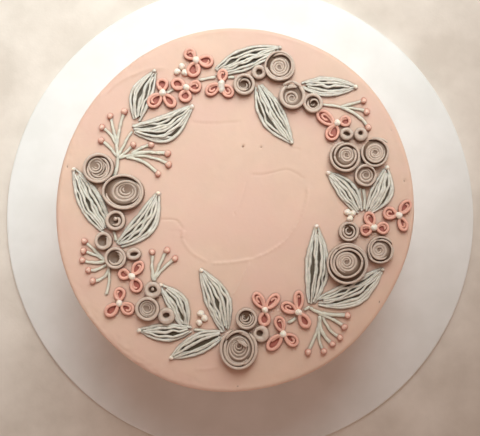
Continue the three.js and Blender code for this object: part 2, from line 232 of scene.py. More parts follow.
class ShaderSheet:
    """A material's nodes, added and joined one by one."""

    def __init__(self, name: str) -> None:
        """Starts an empty material with a principled shader."""
        self.material = bpy.data.materials.new(name)
        self.material.use_nodes = True
        self.nodes = self.material.node_tree.nodes
        self.links = self.material.node_tree.links
        self.shader = self.nodes["Principled BSDF"]
        self.places = self.nodes.new("ShaderNodeTexCoord").outputs["Object"]

    def noise(self, size: float, detail: float, seed: float, stretch: Colour = (1, 1, 1)) -> bpy.types.NodeSocket:
        """Cloudy noise over the object.

        Args:
            size: the size of its clouds in millimetres.
            detail: how many finer layers it has.
            seed: moves it, so that two noises differ.
            stretch: makes it finer along X, Y or Z.

        Returns:
            The noise's value, about 0.5 on average.
        """
        mapping = self.nodes.new("ShaderNodeMapping")
        mapping.inputs["Location"].default_value = (seed, seed * 0.7, seed * 1.3)
        mapping.inputs["Scale"].default_value = stretch
        self.links.new(self.places, mapping.inputs["Vector"])
        cloud = self.nodes.new("ShaderNodeTexNoise")
        cloud.inputs["Scale"].default_value = 1 / (size * METRES)
        cloud.inputs["Detail"].default_value = detail
        cloud.inputs["Roughness"].default_value = 0.55
        self.links.new(mapping.outputs["Vector"], cloud.inputs["Vector"])
        return cloud.outputs["Fac"]

    def tone(self) -> bpy.types.NodeSocket:
        """The painted shading kept on the piece, from 0, painted shade in its grooves, to 1 on its crests."""
        attribute = self.nodes.new("ShaderNodeAttribute")
        attribute.attribute_name = "tone"
        return attribute.outputs["Fac"]

    def ranged(self, value: bpy.types.NodeSocket, source: Point, target: Point) -> bpy.types.NodeSocket:
        """A value moved from one range to another.

        Args:
            value: the value to move.
            source: the range it is read in, outside which it is clipped.
            target: the range it is given.

        Returns:
            The moved value.
        """
        node = self.nodes.new("ShaderNodeMapRange")
        for name, bound in zip(("From Min", "From Max", "To Min", "To Max"), (*source, *target)):
            node.inputs[name].default_value = bound
        self.links.new(value, node.inputs["Value"])
        return node.outputs["Result"]

    def mixed(
        self,
        share: bpy.types.NodeSocket,
        low: bpy.types.NodeSocket | tuple[float, ...],
        high: bpy.types.NodeSocket | tuple[float, ...],
    ) -> bpy.types.NodeSocket:
        """A colour between two others.

        Args:
            share: 0 gives the low colour and 1 the high one.
            low: a colour, or the socket that gives it.
            high: a colour, or the socket that gives it.

        Returns:
            The mixed colour.
        """
        node = self.nodes.new("ShaderNodeMix")
        node.data_type = "RGBA"
        self.links.new(share, node.inputs[0])
        for socket, colour in ((node.inputs[6], low), (node.inputs[7], high)):
            if isinstance(colour, bpy.types.NodeSocket):
                self.links.new(colour, socket)
            else:
                socket.default_value = colour
        return node.outputs[2]

    def bump(self, heights: list[tuple[bpy.types.NodeSocket, float]]) -> None:
        """Gives the shader a bumped normal.

        Args:
            heights: each height's value, from 0 to 1, and its depth in millimetres.
        """
        normal = None
        for value, depth in heights:
            node = self.nodes.new("ShaderNodeBump")
            node.inputs["Distance"].default_value = depth * METRES
            self.links.new(value, node.inputs["Height"])
            if normal is not None:
                self.links.new(normal, node.inputs["Normal"])
            normal = node.outputs["Normal"]
        self.links.new(normal, self.shader.inputs["Normal"])


@dataclass(frozen=True)
class Buttercream:
    """Piped or smoothed buttercream, with painted shade in its grooves, hollows and lower sides."""

    name: str
    crest: tuple[float, float, float, float]
    painted_groove_shade: tuple[float, float, float, float]
    roughness: float = 0.5
    glow: float = 0.12
    shine: float = 0.35
    mottle: float = 0.06
    mottle_size: float = 9.0
    grain_size: float = 0.55
    grain_depth: float = 0.05
    lump_size: float = 2.4
    lump_depth: float = 0.12
    painted_shade_range: Point = (0.0, 0.6)
    blush: tuple[float, float, float, float] | None = None
    blush_size: float = 45.0

    def material(self) -> bpy.types.Material:
        """Makes the material: mottled crests, painted shade where the tone is low, fine grain and soft lumps."""
        sheet = ShaderSheet(self.name)
        darker = tuple(part * (1 - self.mottle) for part in self.crest[:3]) + (1.0,)
        lighter = tuple(min(part * (1 + self.mottle), 1.0) for part in self.crest[:3]) + (1.0,)
        clouds = sheet.noise(self.mottle_size, 4.0, 0.31)
        patches = sheet.ranged(clouds, (0.34, 0.66), (0.0, 1.0))
        crests = sheet.mixed(patches, darker, lighter)
        if self.blush is not None:
            blushes = sheet.ranged(sheet.noise(self.blush_size, 3.0, 0.64), (0.42, 0.62), (0.0, 1.0))
            crests = sheet.mixed(blushes, crests, self.blush)
        # Painted shade: a low tone moves the colour from the crests towards the dark groove colour.
        depth = sheet.ranged(sheet.tone(), self.painted_shade_range, (0.0, 1.0))
        sheet.links.new(sheet.mixed(depth, self.painted_groove_shade, crests), sheet.shader.inputs["Base Color"])
        grain = sheet.noise(self.grain_size, 3.0, 0.83)
        lumps = sheet.noise(self.lump_size, 2.0, 0.47)
        rough = sheet.ranged(grain, (0.3, 0.7), (self.roughness - 0.06, self.roughness + 0.08))
        sheet.links.new(rough, sheet.shader.inputs["Roughness"])
        sheet.bump([(lumps, self.lump_depth), (grain, self.grain_depth)])
        sheet.shader.inputs["Subsurface Weight"].default_value = self.glow
        sheet.shader.inputs["Subsurface Radius"].default_value = (1.0, 0.6, 0.4)
        sheet.shader.inputs["Subsurface Scale"].default_value = 1.5 * METRES
        sheet.shader.inputs["Specular IOR Level"].default_value = self.shine
        return sheet.material


@dataclass(frozen=True)
class BoardCard:
    """White laminated card with a faint fibre under its film."""

    name: str = "white_board_card"
    white: tuple[float, float, float, float] = linear(236, 231, 227)
    fibre: tuple[float, float, float, float] = linear(229, 224, 219)

    def material(self) -> bpy.types.Material:
        """Makes the material: near white, faintly clouded, satin, with a fine fibre."""
        sheet = ShaderSheet(self.name)
        clouds = sheet.ranged(sheet.noise(26.0, 3.0, 0.2), (0.35, 0.65), (0.0, 1.0))
        sheet.links.new(sheet.mixed(clouds, self.fibre, self.white), sheet.shader.inputs["Base Color"])
        fibres = sheet.noise(1.1, 4.0, 0.6, (1.0, 0.35, 1.0))
        rough = sheet.ranged(fibres, (0.3, 0.7), (0.36, 0.48))
        sheet.links.new(rough, sheet.shader.inputs["Roughness"])
        sheet.bump([(fibres, 0.03)])
        sheet.shader.inputs["Specular IOR Level"].default_value = 0.4
        return sheet.material


@dataclass(frozen=True)
class PalePlaster:
    """The plain pale surface under the board."""

    name: str = "pale_surface"
    light: tuple[float, float, float, float] = linear(233, 219, 207)
    dark: tuple[float, float, float, float] = linear(214, 199, 186)

    def material(self) -> bpy.types.Material:
        """Makes the material: matt, with soft clouds and a fine grit."""
        sheet = ShaderSheet(self.name)
        clouds = sheet.ranged(sheet.noise(38.0, 6.0, 0.9), (0.35, 0.65), (0.0, 1.0))
        sheet.links.new(sheet.mixed(clouds, self.dark, self.light), sheet.shader.inputs["Base Color"])
        grit = sheet.noise(1.6, 5.0, 0.1)
        sheet.bump([(grit, 0.1)])
        sheet.shader.inputs["Roughness"].default_value = 0.7
        return sheet.material


# The groove colours are painted shade. They are laid where a piece's tone is low: in grooves, gaps and hollows, at
# feet, under threads and round the lower sides of dots.
FROSTING = Buttercream(
    name="blush_frosting",
    crest=linear(232, 194, 172),
    painted_groove_shade=linear(126, 78, 56),
    blush=linear(232, 190, 171),
    mottle=0.03,
    mottle_size=16.0,
    grain_size=0.7,
    grain_depth=0.03,
    lump_size=5.0,
    lump_depth=0.1,
)
TAUPE = Buttercream(
    name="taupe_buttercream",
    shine=0.45,
    crest=linear(211, 187, 171),
    painted_groove_shade=linear(124, 94, 74),
    roughness=0.5,
    mottle=0.07,
    mottle_size=3.0,
    painted_shade_range=(0.05, 0.75),
)
SAGE = Buttercream(
    name="sage_buttercream",
    shine=0.5,
    crest=linear(228, 217, 203),
    painted_groove_shade=linear(92, 76, 56),
    roughness=0.46,
    mottle=0.09,
    mottle_size=2.2,
    lump_size=1.5,
    lump_depth=0.2,
    painted_shade_range=(0.42, 0.98),
)
CORAL = Buttercream(
    name="coral_buttercream",
    crest=linear(238, 178, 158),
    painted_groove_shade=linear(158, 58, 42),
    painted_shade_range=(0.1, 0.72),
    mottle=0.07,
    mottle_size=3.0,
)
STEM_CREAM = Buttercream(
    name="stem_buttercream",
    crest=linear(224, 215, 198),
    painted_groove_shade=linear(136, 112, 88),
    painted_shade_range=(0.4, 0.88),
    mottle=0.08,
    mottle_size=3.0,
)
# Berries: the pale crest colour on their tops is a painted highlight, and the groove colour down their sides is painted
# shade.
BERRY_CREAM = Buttercream(
    name="berry_buttercream",
    shine=0.65,
    crest=linear(252, 206, 186),
    painted_groove_shade=linear(178, 78, 58),
    roughness=0.24,
    mottle=0.07,
    mottle_size=2.0,
    painted_shade_range=(0.55, 1.0),
)
PEARL_CREAM = Buttercream(
    name="pearl_buttercream",
    shine=0.5,
    crest=linear(255, 235, 219),
    painted_groove_shade=linear(222, 180, 156),
    roughness=0.34,
    painted_shade_range=(0.05, 0.75),
    mottle=0.03,
    glow=0.2,
)


# ---- Board and cake


@dataclass(frozen=True)
class Board:
    """The thin round board, with a softened rim."""

    radius: float = 152.5
    thickness: float = BOARD_TOP
    rim: float = 1.2
    sides: int = 256

    def build(self) -> None:
        """Makes the board's mesh and dresses it in white card."""
        quarter = np.linspace(0, math.pi / 2, 7)
        under = [(self.radius - self.rim * 0.5 * (1 - math.sin(a)), self.rim * 0.5 * (1 - math.cos(a))) for a in quarter]
        over = [
            (self.radius - self.rim * (1 - math.cos(a)), self.thickness - self.rim * (1 - math.sin(a)))
            for a in quarter
        ]
        flat = [(self.radius * share, 0.0) for share in (0.25, 0.7)]
        top = [(self.radius * share, self.thickness) for share in (0.9, 0.7, 0.45, 0.2)]
        profile = np.array([*flat, *under, *over, *top])
        angles = np.linspace(0, 2 * math.pi, self.sides, endpoint=False)
        rings = np.stack(
            [
                profile[:, :1] * np.cos(angles),
                profile[:, :1] * np.sin(angles),
                np.repeat(profile[:, 1:], self.sides, axis=1),
            ],
            axis=-1,
        )
        draft = MeshDraft()
        draft.add_skin(rings, np.ones(rings.shape[:2]))
        piece = draft.build("cake_board", BoardCard().material(), Slot.BOARD)
        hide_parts("board")


@dataclass(frozen=True)
class SpatulaMark:
    """A low line that the spatula's edge left in the frosting."""

    route: tuple[Point, ...]
    height: float
    width: float
    step: float = 0.0

    def lift(self, x: np.ndarray, y: np.ndarray) -> np.ndarray:
        """How far the mark raises the frosting.

        Args:
            x: places along X.
            y: places along Y.

        Returns:
            The lift in millimetres at each place.
        """
        knots = np.array(self.route)
        spread = np.linspace(0, len(knots) - 1, 9 * len(knots))
        line = catmull_rom(knots, spread)
        near = np.full(x.shape, np.inf)
        side = np.zeros(x.shape)
        share = np.zeros(x.shape)
        for number, (start, end) in enumerate(zip(line[:-1], line[1:])):
            along = end - start
            length = float(along @ along)
            reach = np.clip(((x - start[0]) * along[0] + (y - start[1]) * along[1]) / length, 0, 1)
            gap_x = x - start[0] - reach * along[0]
            gap_y = y - start[1] - reach * along[1]
            gap = np.hypot(gap_x, gap_y)
            closer = gap < near
            near = np.where(closer, gap, near)
            side = np.where(closer, np.sign(along[0] * gap_y - along[1] * gap_x), side)
            share = np.where(closer, (number + reach) / (len(line) - 1), share)
        fade = smooth(share / 0.12) * smooth((1 - share) / 0.12)
        ridge = self.height * np.exp(-((near / self.width) ** 2))
        shelf = self.step * side * np.exp(-near / (6 * self.width))
        return fade * (ridge + shelf)


def catmull_rom(knots: np.ndarray, places: np.ndarray) -> np.ndarray:
    """A smooth line through knots.

    Args:
        knots: points shaped (n, 2).
        places: where along the line points are wanted, from 0 to n - 1.

    Returns:
        The line's points, shaped (len(places), 2).
    """
    padded = np.concatenate([[2 * knots[0] - knots[1]], knots, [2 * knots[-1] - knots[-2]]])
    index = np.minimum(places.astype(int), len(knots) - 2)
    t = (places - index)[:, None]
    a, b, c, d = (padded[index + offset] for offset in range(4))
    return 0.5 * (2 * b + (c - a) * t + (2 * a - 5 * b + 4 * c - d) * t**2 + (3 * b - a - 3 * c + d) * t**3)


@dataclass(frozen=True)
class Pit:
    """A small air hole in the frosting, its depth as a share of the deepest usual one."""

    at: Point
    depth: float


@dataclass(frozen=True)
class Icing:
    """The smoothed frosting over the whole cake."""

    radius: float = 103.0
    oval_share: float = 0.014
    oval_angle: float = math.radians(66)
    rounding: float = 2.4
    sides: int = 560
    top_rows: int = 132
    side_rows: int = 22
    marks: tuple[SpatulaMark, ...] = (
        SpatulaMark(((41.6, 14), (41.4, 6), (38, -5), (30, -17.3), (20, -24.4), (9.6, -28.9)), 0.36, 0.7, 0.14),
        SpatulaMark(((12, -28.4), (-1, -30.4), (-13.4, -31.2)), 0.3, 0.7, 0.12),
        SpatulaMark(((9.2, -29.9), (5.8, -37.9), (1.3, -46.4), (-1, -49.2)), 0.32, 0.7, 0.12),
        SpatulaMark(((-28.6, -12), (-29.3, -17), (-25.9, -23), (-21.4, -27), (-14, -31)), 0.2, 0.8, 0.08),
        SpatulaMark(((-25.9, 49.7), (-14.6, 48.5), (-1, 49), (4.6, 49.8)), -0.15, 0.65, 0.08),
        SpatulaMark(((8.1, 19.6), (14.9, 19.1), (21.7, 20.2), (29.7, 22), (35.3, 20), (40, 16.6)), -0.15, 0.7, 0.09),
        SpatulaMark(((7.9, 16.6), (5.3, 7.5), (2.4, -0.5), (0.4, -2.5)), -0.08, 0.8, 0.02),
        SpatulaMark(((-44, -6.2), (-34, -6.3), (-31, -8.4), (-28.6, -11.8)), -0.15, 0.65, 0.09),
        SpatulaMark(((-28.6, -12.6), (-28.8, -14.4), (-29.6, -16.4)), 0.3, 0.7, 0.1),
        SpatulaMark(((33.6, 34.5), (38.2, 33.3)), -0.15, 0.7, 0.06),
        SpatulaMark(((-22, -91.5), (-14, -91), (-6, -89.6)), 0.2, 1.0, 0.12),
        SpatulaMark(((-78, 62), (-66, 72), (-50, 79), (-38, 80)), 0.25, 1.0, 0.12),
        SpatulaMark(((-72, -69), (-66, -76), (-56, -83), (-44, -90)), 0.16, 1.4, 0.08),
    )
    pits: tuple[Pit, ...] = (
        Pit((5.2, 35.2), 1.0),
        Pit((15.6, 34.8), 0.6),
        Pit((0.4, -2.9), 0.3),
        Pit((39.2, 17.1), 0.22),
        Pit((-95.2, 24.3), 1.0),
        Pit((89.8, 44.3), 0.5),
        Pit((96.6, 15.6), 0.7),
        Pit((82.4, -53.2), 1.2),
        Pit((2.4, -100.4), 0.6),
    )
    flaky_way: float = math.radians(236)
    # Reach and depth of the painted contact shade next to the piped pieces.
    contact_shade_reach: float = 1.25
    contact_shade_depth: float = 0.42
    pit_radius: float = 0.65
    pit_depth: float = 0.9

    def outline(self, angle: np.ndarray) -> np.ndarray:
        """The cake's radius in each direction: slightly oval, with slow waves."""
        oval = self.oval_share * np.cos(2 * (angle - self.oval_angle))
        waves = 0.003 * np.sin(3 * angle + 0.8) + 0.002 * np.sin(7 * angle + 2.1)
        return self.radius * (1 + oval + waves)

    def relief(self, x: np.ndarray, y: np.ndarray) -> tuple[np.ndarray, np.ndarray]:
        """The top's relief.

        Args:
            x: places along X.
            y: places along Y.

        Returns:
            The lift in millimetres, and the tone, at each place.
        """
        lift = 0.1 * swell(x, y, 46, 3) + 0.035 * swell(x, y, 13, 8)
        lift += sum(mark.lift(x, y) for mark in self.marks)
        tone = np.full(x.shape, 0.85)
        for pit in self.pits:
            distance = np.hypot(x - pit.at[0], y - pit.at[1])
            dent = pit.depth * np.exp(-((distance / self.pit_radius) ** 2))
            lift -= self.pit_depth * dent
            # Painted shade: the tone drops inside each pit.
            tone -= 1.2 * dent
        return lift, np.clip(tone, 0, 1)

    def crumble(self, rings: np.ndarray, share: np.ndarray) -> np.ndarray:
        """Roughens the rim where the frosting was scraped off level.

        Args:
            rings: points shaped (rows, columns, 3).
            share: how rough each row is, from 0 to 1.

        Returns:
            The roughened rings.
        """
        for row in np.nonzero(share > 0)[0]:
            for column in range(rings.shape[1]):
                x, y, z = rings[row, column]
                coarse = noise.noise(Vector((x * 0.12, y * 0.12, 3.0 + z * 0.12)))
                fine = noise.noise(Vector((x * 0.45, y * 0.45, z * 0.45)))
                flake = max(math.cos(math.atan2(y, x) - self.flaky_way), 0) ** 8
                out = (0.55 + 0.4 * flake) * coarse + (0.22 + 0.35 * flake) * fine
                length = math.hypot(x, y)
                rings[row, column] += share[row] * np.array([x / length * out, y / length * out, 0.5 * out - 0.2])
        return rings

    def painted_contact_shade(self, x: np.ndarray, y: np.ndarray, feet: np.ndarray) -> np.ndarray:
        """How much painted shade darkens the frosting next to the piped icing, as a contact shadow.

        Args:
            x: places along X.
            y: places along Y.
            feet: points on the outlines of what is piped, shaped (n, 2).

        Returns:
            A share from 0 to 1 at each place.
        """
        tree = KDTree(len(feet))
        for number, (foot_x, foot_y) in enumerate(feet.tolist()):
            tree.insert((foot_x, foot_y, 0.0), number)
        tree.balance()
        gaps = [tree.find((*place, 0.0))[2] for place in zip(x.ravel().tolist(), y.ravel().tolist())]
        return np.exp(-((np.array(gaps).reshape(x.shape) / self.contact_shade_reach) ** 2))

    def build(self, feet: np.ndarray) -> None:
        """Makes the frosting's mesh, from its foot up the side and in over the top, and dresses it.

        Args:
            feet: points on the outlines of what is piped on it, shaped (n, 2).
        """
        angles = np.linspace(0, 2 * math.pi, self.sides, endpoint=False)
        outline = self.outline(angles)
        side_heights = np.linspace(BOARD_TOP, CAKE_TOP - self.rounding, self.side_rows)
        rows = []
        for height in side_heights:
            sway = 0.35 * swell(angles * 60, np.full(angles.shape, height), 38, 5)
            bands = 0.12 * math.sin(height * 0.9) + 0.1 * math.sin(height * 0.37 + 1)
            settle = 0.5 * math.exp(-(height - BOARD_TOP) / 1.2)
            rows.append((outline + sway * 0.6 + bands - 0.35 + settle, np.full(angles.shape, height)))
        for turn in np.linspace(0, math.pi / 2, 8)[1:]:
            inset = self.rounding * (1 - math.cos(turn))
            rows.append((outline - 0.3 - inset, np.full(angles.shape, CAKE_TOP - self.rounding * (1 - math.sin(turn)))))
        rim_rows = len(rows)
        for share in np.linspace(1, 0.004, self.top_rows)[1:]:
            rows.append(((outline - 0.3 - self.rounding) * share, np.full(angles.shape, CAKE_TOP)))
        radii = np.array([row[0] for row in rows])
        heights = np.array([row[1] for row in rows])
        x, y = radii * np.cos(angles), radii * np.sin(angles)
        lift, tone = self.relief(x[rim_rows:], y[rim_rows:])
        # Painted contact shade: the tone drops next to the feet of the piped pieces.
        tone = np.clip(tone - self.contact_shade_depth * self.painted_contact_shade(x[rim_rows:], y[rim_rows:], feet), 0, 1)
        heights[rim_rows:] += lift
        tones = np.concatenate([np.full((rim_rows, self.sides), 0.85), tone])
        numbers = np.arange(len(rows))
        rough = np.exp(-(((numbers - rim_rows + 1) / 5.0) ** 2))
        rough[rough < 0.02] = 0
        rings = self.crumble(np.stack([x, y, heights], axis=-1), rough)
        draft = MeshDraft()
        draft.add_skin(rings, tones)
        piece = draft.build("frosting", FROSTING.material(), Slot.FROSTING)
        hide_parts("cake")


# ---- Threads and walls of icing


def right_of(path: np.ndarray, closed: bool = False) -> np.ndarray:
    """The direction to the right of a path.

    Args:
        path: its points, shaped (n, 2).
        closed: whether its last point leads back to its first.

    Returns:
        A unit direction for each point.
    """
    ahead = np.roll(path, -1, axis=0) - np.roll(path, 1, axis=0) if closed else np.gradient(path, axis=0)
    ahead = ahead / np.maximum(np.linalg.norm(ahead, axis=1, keepdims=True), 1e-6)
    return np.stack([ahead[:, 1], -ahead[:, 0]], axis=1)


@dataclass(frozen=True)
class Wall:
    """A ribbon of icing stood on its edge along a path.

    Its crest is given from the flank to the middle: how far to the side a point lies and how far
    it lies under the crest, both in half widths.
    """

    crest_profile: tuple[Point, ...] = ((0.98, 1.0), (0.88, 0.58), (0.66, 0.26), (0.35, 0.07), (0.0, 0.0))
    foot_side: float = 0.92
    flank_share: float = 0.4

    def add(
        self,
        draft: MeshDraft,
        path: np.ndarray,
        half: np.ndarray,
        crest: np.ndarray,
        lean: float = 0.0,
        closed: bool = False,
    ) -> None:
        """Adds the wall to a draft.

        Args:
            draft: what the wall is added to.
            path: the wall's centre line, shaped (n, 2).
            half: its half width along the path.
            crest: the height of its crest over the frosting.
            lean: how far it leans to the path's right, as a share of its height.
            closed: whether it runs back into its own start.
        """
        low = np.full(len(path), -FOOT_SINK)
        flank = self.flank_share * crest
        # Painted shade: the tones fall from 1 on the crest to 0 at the foot, darkening the flanks.
        left = [(-side, crest - drop * half, 1 - 0.7 * drop) for side, drop in self.crest_profile]
        section = [(-self.foot_side, low, 0.0), (-1.0, flank, 0.05), *left]
        section += [(-side, level, tone) for side, level, tone in reversed(section[:-1])]
        sides = np.stack([side * half for side, _, _ in section], axis=1)
        levels = np.stack([level for _, level, _ in section], axis=1)
        tones = np.tile([tone for _, _, tone in section], (len(path), 1))
        shift = sides + lean * np.maximum(levels, 0)
        plan = path[:, None, :] + shift[:, :, None] * right_of(path, closed)[:, None, :]
        rings = np.concatenate([plan, (CAKE_TOP + levels)[:, :, None]], axis=-1)
        draft.add_skin(rings, tones, closed)


@dataclass(frozen=True)
class Thread:
    """A round thread of icing along a path, a little flattened by its own weight."""

    sides: int = 12
    flatness: float = 0.92

    def add(self, draft: MeshDraft, path: np.ndarray, radius: np.ndarray, centre: np.ndarray) -> None:
        """Adds the thread to a draft.

        Args:
            draft: what the thread is added to.
            path: its centre line in plan, shaped (n, 2).
            radius: its radius along the path.
            centre: the height of its centre over the frosting.
        """
        right = right_of(path)
        turn = np.linspace(0, 2 * math.pi, self.sides, endpoint=False)
        across = -np.cos(turn)[None, :] * radius[:, None]
        level = centre[:, None] + np.sin(turn)[None, :] * radius[:, None] * self.flatness
        plan = path[:, None, :] + across[:, :, None] * right[:, None, :]
        rings = np.concatenate([plan, (CAKE_TOP + level)[:, :, None]], axis=-1)
        # Painted shade: the tones darken the thread's sides and underside and leave its top the crest colour.
        tones = np.repeat(0.5 + 0.5 * np.sin(turn)[None, :], len(path), axis=0)
        draft.add_skin(rings, tones)


@dataclass(frozen=True)
class Blob:
    """A rounded dot of icing with a soft peak: a berry or a pearl."""

    radius: float
    peak: float = 0.12
    rows: int = 10
    sides: int = 16

    def add(self, draft: MeshDraft, place: Point, centre: float, draw: np.random.Generator) -> None:
        """Adds the blob to a draft.

        Args:
            draft: what the blob is added to.
            place: where it lies in plan.
            centre: the height of its centre over the frosting.
            draw: the seeded source of its unevenness.
        """
        polar = np.linspace(-0.48 * math.pi, 0.48 * math.pi, self.rows)[:, None]
        turn = np.linspace(0, 2 * math.pi, self.sides, endpoint=False)[None, :]
        phase = draw.uniform(0, 2 * math.pi, 3)
        uneven = 1 + 0.05 * np.sin(2 * turn + phase[0]) * np.cos(polar) + 0.04 * np.sin(3 * turn + phase[1])
        radius = self.radius * uneven * draw.uniform(0.93, 1.07)
        tip = self.peak * self.radius * smooth((np.sin(polar) - 0.8) / 0.2)
        slump = draw.uniform(-0.12, 0.12, 2) * self.radius
        rings = np.stack(
            [
                place[0] + radius * np.cos(polar) * np.cos(turn) + slump[0] * np.sin(polar),
                place[1] + radius * np.cos(polar) * np.sin(turn) + slump[1] * np.sin(polar),
                CAKE_TOP + centre + 0.92 * radius * np.sin(polar) + tip,
            ],
            axis=-1,
        )
        # Painted shade: the tones darken its lower sides and leave its top the crest colour.
        tones = np.repeat(0.55 + 0.45 * np.sin(polar), self.sides, axis=1)
        draft.add_skin(rings, tones)


@dataclass(frozen=True)
class Hollow:
    """The opening inside a ring of icing: where it lies from the ring's middle, and its reach."""

    at: Point
    reach: Point
    tilt: float = 0.0


@dataclass(frozen=True)
class Ring:
    """A closed ring of icing between a rounded outline and the hollow inside it."""

    centre: Point
    radius: float
    hollow: Hollow
    height: float
    stretch: float = 1.0

    def add(self, draft: MeshDraft, draw: np.random.Generator) -> None:
        """Adds the ring to a draft.

        Args:
            draft: what the ring is added to.
            draw: the seeded source of its unevenness.
        """
        count = max(int(self.radius * 9), 48)
        angle = np.linspace(0, 2 * math.pi, count, endpoint=False)
        phase = draw.uniform(0, 2 * math.pi, 6)
        tilt = math.radians(self.hollow.tilt)
        corners = 1 + 0.02 * np.sin(2 * angle + phase[0]) + 0.018 * np.sin(3 * angle + phase[1])
        corners += 0.011 * np.sin(5 * angle + phase[2])
        outside = self.radius * corners[:, None] * np.stack(
            [self.stretch * np.cos(angle + tilt), np.sin(angle + tilt) / self.stretch], axis=1
        )
        bumps = 1 + 0.04 * np.sin(3 * angle + phase[3]) + 0.03 * np.sin(4 * angle + phase[4])
        along = self.hollow.reach[0] * bumps * np.cos(angle)
        across = self.hollow.reach[1] * bumps * np.sin(angle)
        inside = np.stack(
            [
                self.hollow.at[0] + along * math.cos(tilt) - across * math.sin(tilt),
                self.hollow.at[1] + along * math.sin(tilt) + across * math.cos(tilt),
            ],
            axis=1,
        )
        path = np.array(self.centre) + (outside + inside) / 2
        half = np.linalg.norm(outside - inside, axis=1) / 2
        crest = self.height * (1 + 0.035 * np.sin(2 * angle + phase[5]) + 0.02 * np.sin(5 * angle + phase[0]))
        Wall().add(draft, path, half, np.minimum(crest, self.height), closed=True)


@dataclass(frozen=True)
class Coil:
    """A wall of icing rolled outwards round an eye."""

    centre: Point
    radius: float
    turns: float
    start: float
    roll: Roll
    inner: float
    height: float
    eye_height: float
    drift: Point = (0.0, 0.0)
    fill: float = 0.85
    growth: float = 1.15
    stretch: float = 1.0

    def add(self, draft: MeshDraft, draw: np.random.Generator) -> None:
        """Adds the coil to a draft.

        Args:
            draft: what the coil is added to.
            draw: the seeded source of its unevenness.
        """
        steps = np.linspace(0, 1, max(int(self.turns * STATIONS_PER_TURN), 30))
        slope = self.growth * np.maximum(steps, 0.05) ** (self.growth - 1)
        pitch = (self.radius - self.inner) / self.turns * slope
        half = np.maximum(pitch * self.fill / 2, 0.36)
        tail = smooth((steps - 1 + 0.3 / self.turns) * self.turns / 0.3)
        half = half * (1 - 0.5 * tail) * (1 + 0.12 * wander(steps, 5 * self.turns, draw))
        rim = self.radius - half[int(len(half) * 0.7)]
        spread = self.inner + half[0] + (rim - self.inner - half[0]) * steps**self.growth
        spread *= 1 + 0.06 * wander(steps, 4 * self.turns, draw)
        spread -= 0.3 * tail
        angle = self.start + self.roll.value * 2 * math.pi * self.turns * steps
        settle = (1 - steps) ** 0.9
        path = np.stack(
            [
                self.centre[0] + spread * self.stretch * np.cos(angle) + self.drift[0] * settle,
                self.centre[1] + spread / self.stretch * np.sin(angle) + self.drift[1] * settle,
            ],
            axis=1,
        )
        rise = self.eye_height + (self.height - self.eye_height) * steps**1.3
        crest = rise * (1 + 0.05 * wander(steps, 6 * self.turns, draw)) * (1 - 0.12 * tail)
        Wall().add(draft, path, half, np.minimum(crest, self.height), self.roll.value * 0.06)


@dataclass(frozen=True)
class Arc:
    """A stroke of icing that curls part of the way round a rose.

    Its angles are in degrees, counterclockwise from the rose's right. Radii are how far its
    middle line lies from the rose's middle, at its start and at its end.
    """

    start: float
    sweep: float
    radii: Point
    width: float
    level: float = 1.0
    at: Point = (0.0, 0.0)

    def add(self, draft: MeshDraft, rose: Rose, draw: np.random.Generator) -> None:
        """Adds the stroke to a draft.

        Args:
            draft: what the stroke is added to.
            rose: the rose it curls round.
            draw: the seeded source of its unevenness.
        """
        turns = abs(self.sweep) / 360
        closed = turns >= 1
        steps = np.linspace(0, 1, max(int(turns * STATIONS_PER_TURN), 12), endpoint=not closed)
        angle = np.radians(self.start + self.sweep * steps)
        uneven = np.sin(math.pi * steps) ** 0.4 if closed else np.ones(steps.shape)
        spread = self.radii[0] + (0 if closed else self.radii[1] - self.radii[0]) * smooth(steps)
        spread *= 1 + 0.06 * uneven * wander(steps, 4 * turns, draw)
        path = np.stack(
            [
                rose.at[0] + self.at[0] + spread * rose.stretch * np.cos(angle),
                rose.at[1] + self.at[1] + spread / rose.stretch * np.sin(angle),
            ],
            axis=1,
        )
        reach = turns * 2 * math.pi * self.radii[0]
        ends = np.ones(steps.shape) if closed else smooth(np.minimum(steps, 1 - steps) * reach / 2.6)
        half = self.width / 2 * (0.4 + 0.6 * ends) * (1 + 0.1 * uneven * wander(steps, 6 * turns, draw))
        bumps = 1 + 0.03 * uneven * wander(steps, 5 * turns, draw)
        crest = rose.height * self.level * (0.78 + 0.22 * ends) * bumps
        Wall().add(draft, path, half, np.minimum(crest, rose.height), closed=closed)


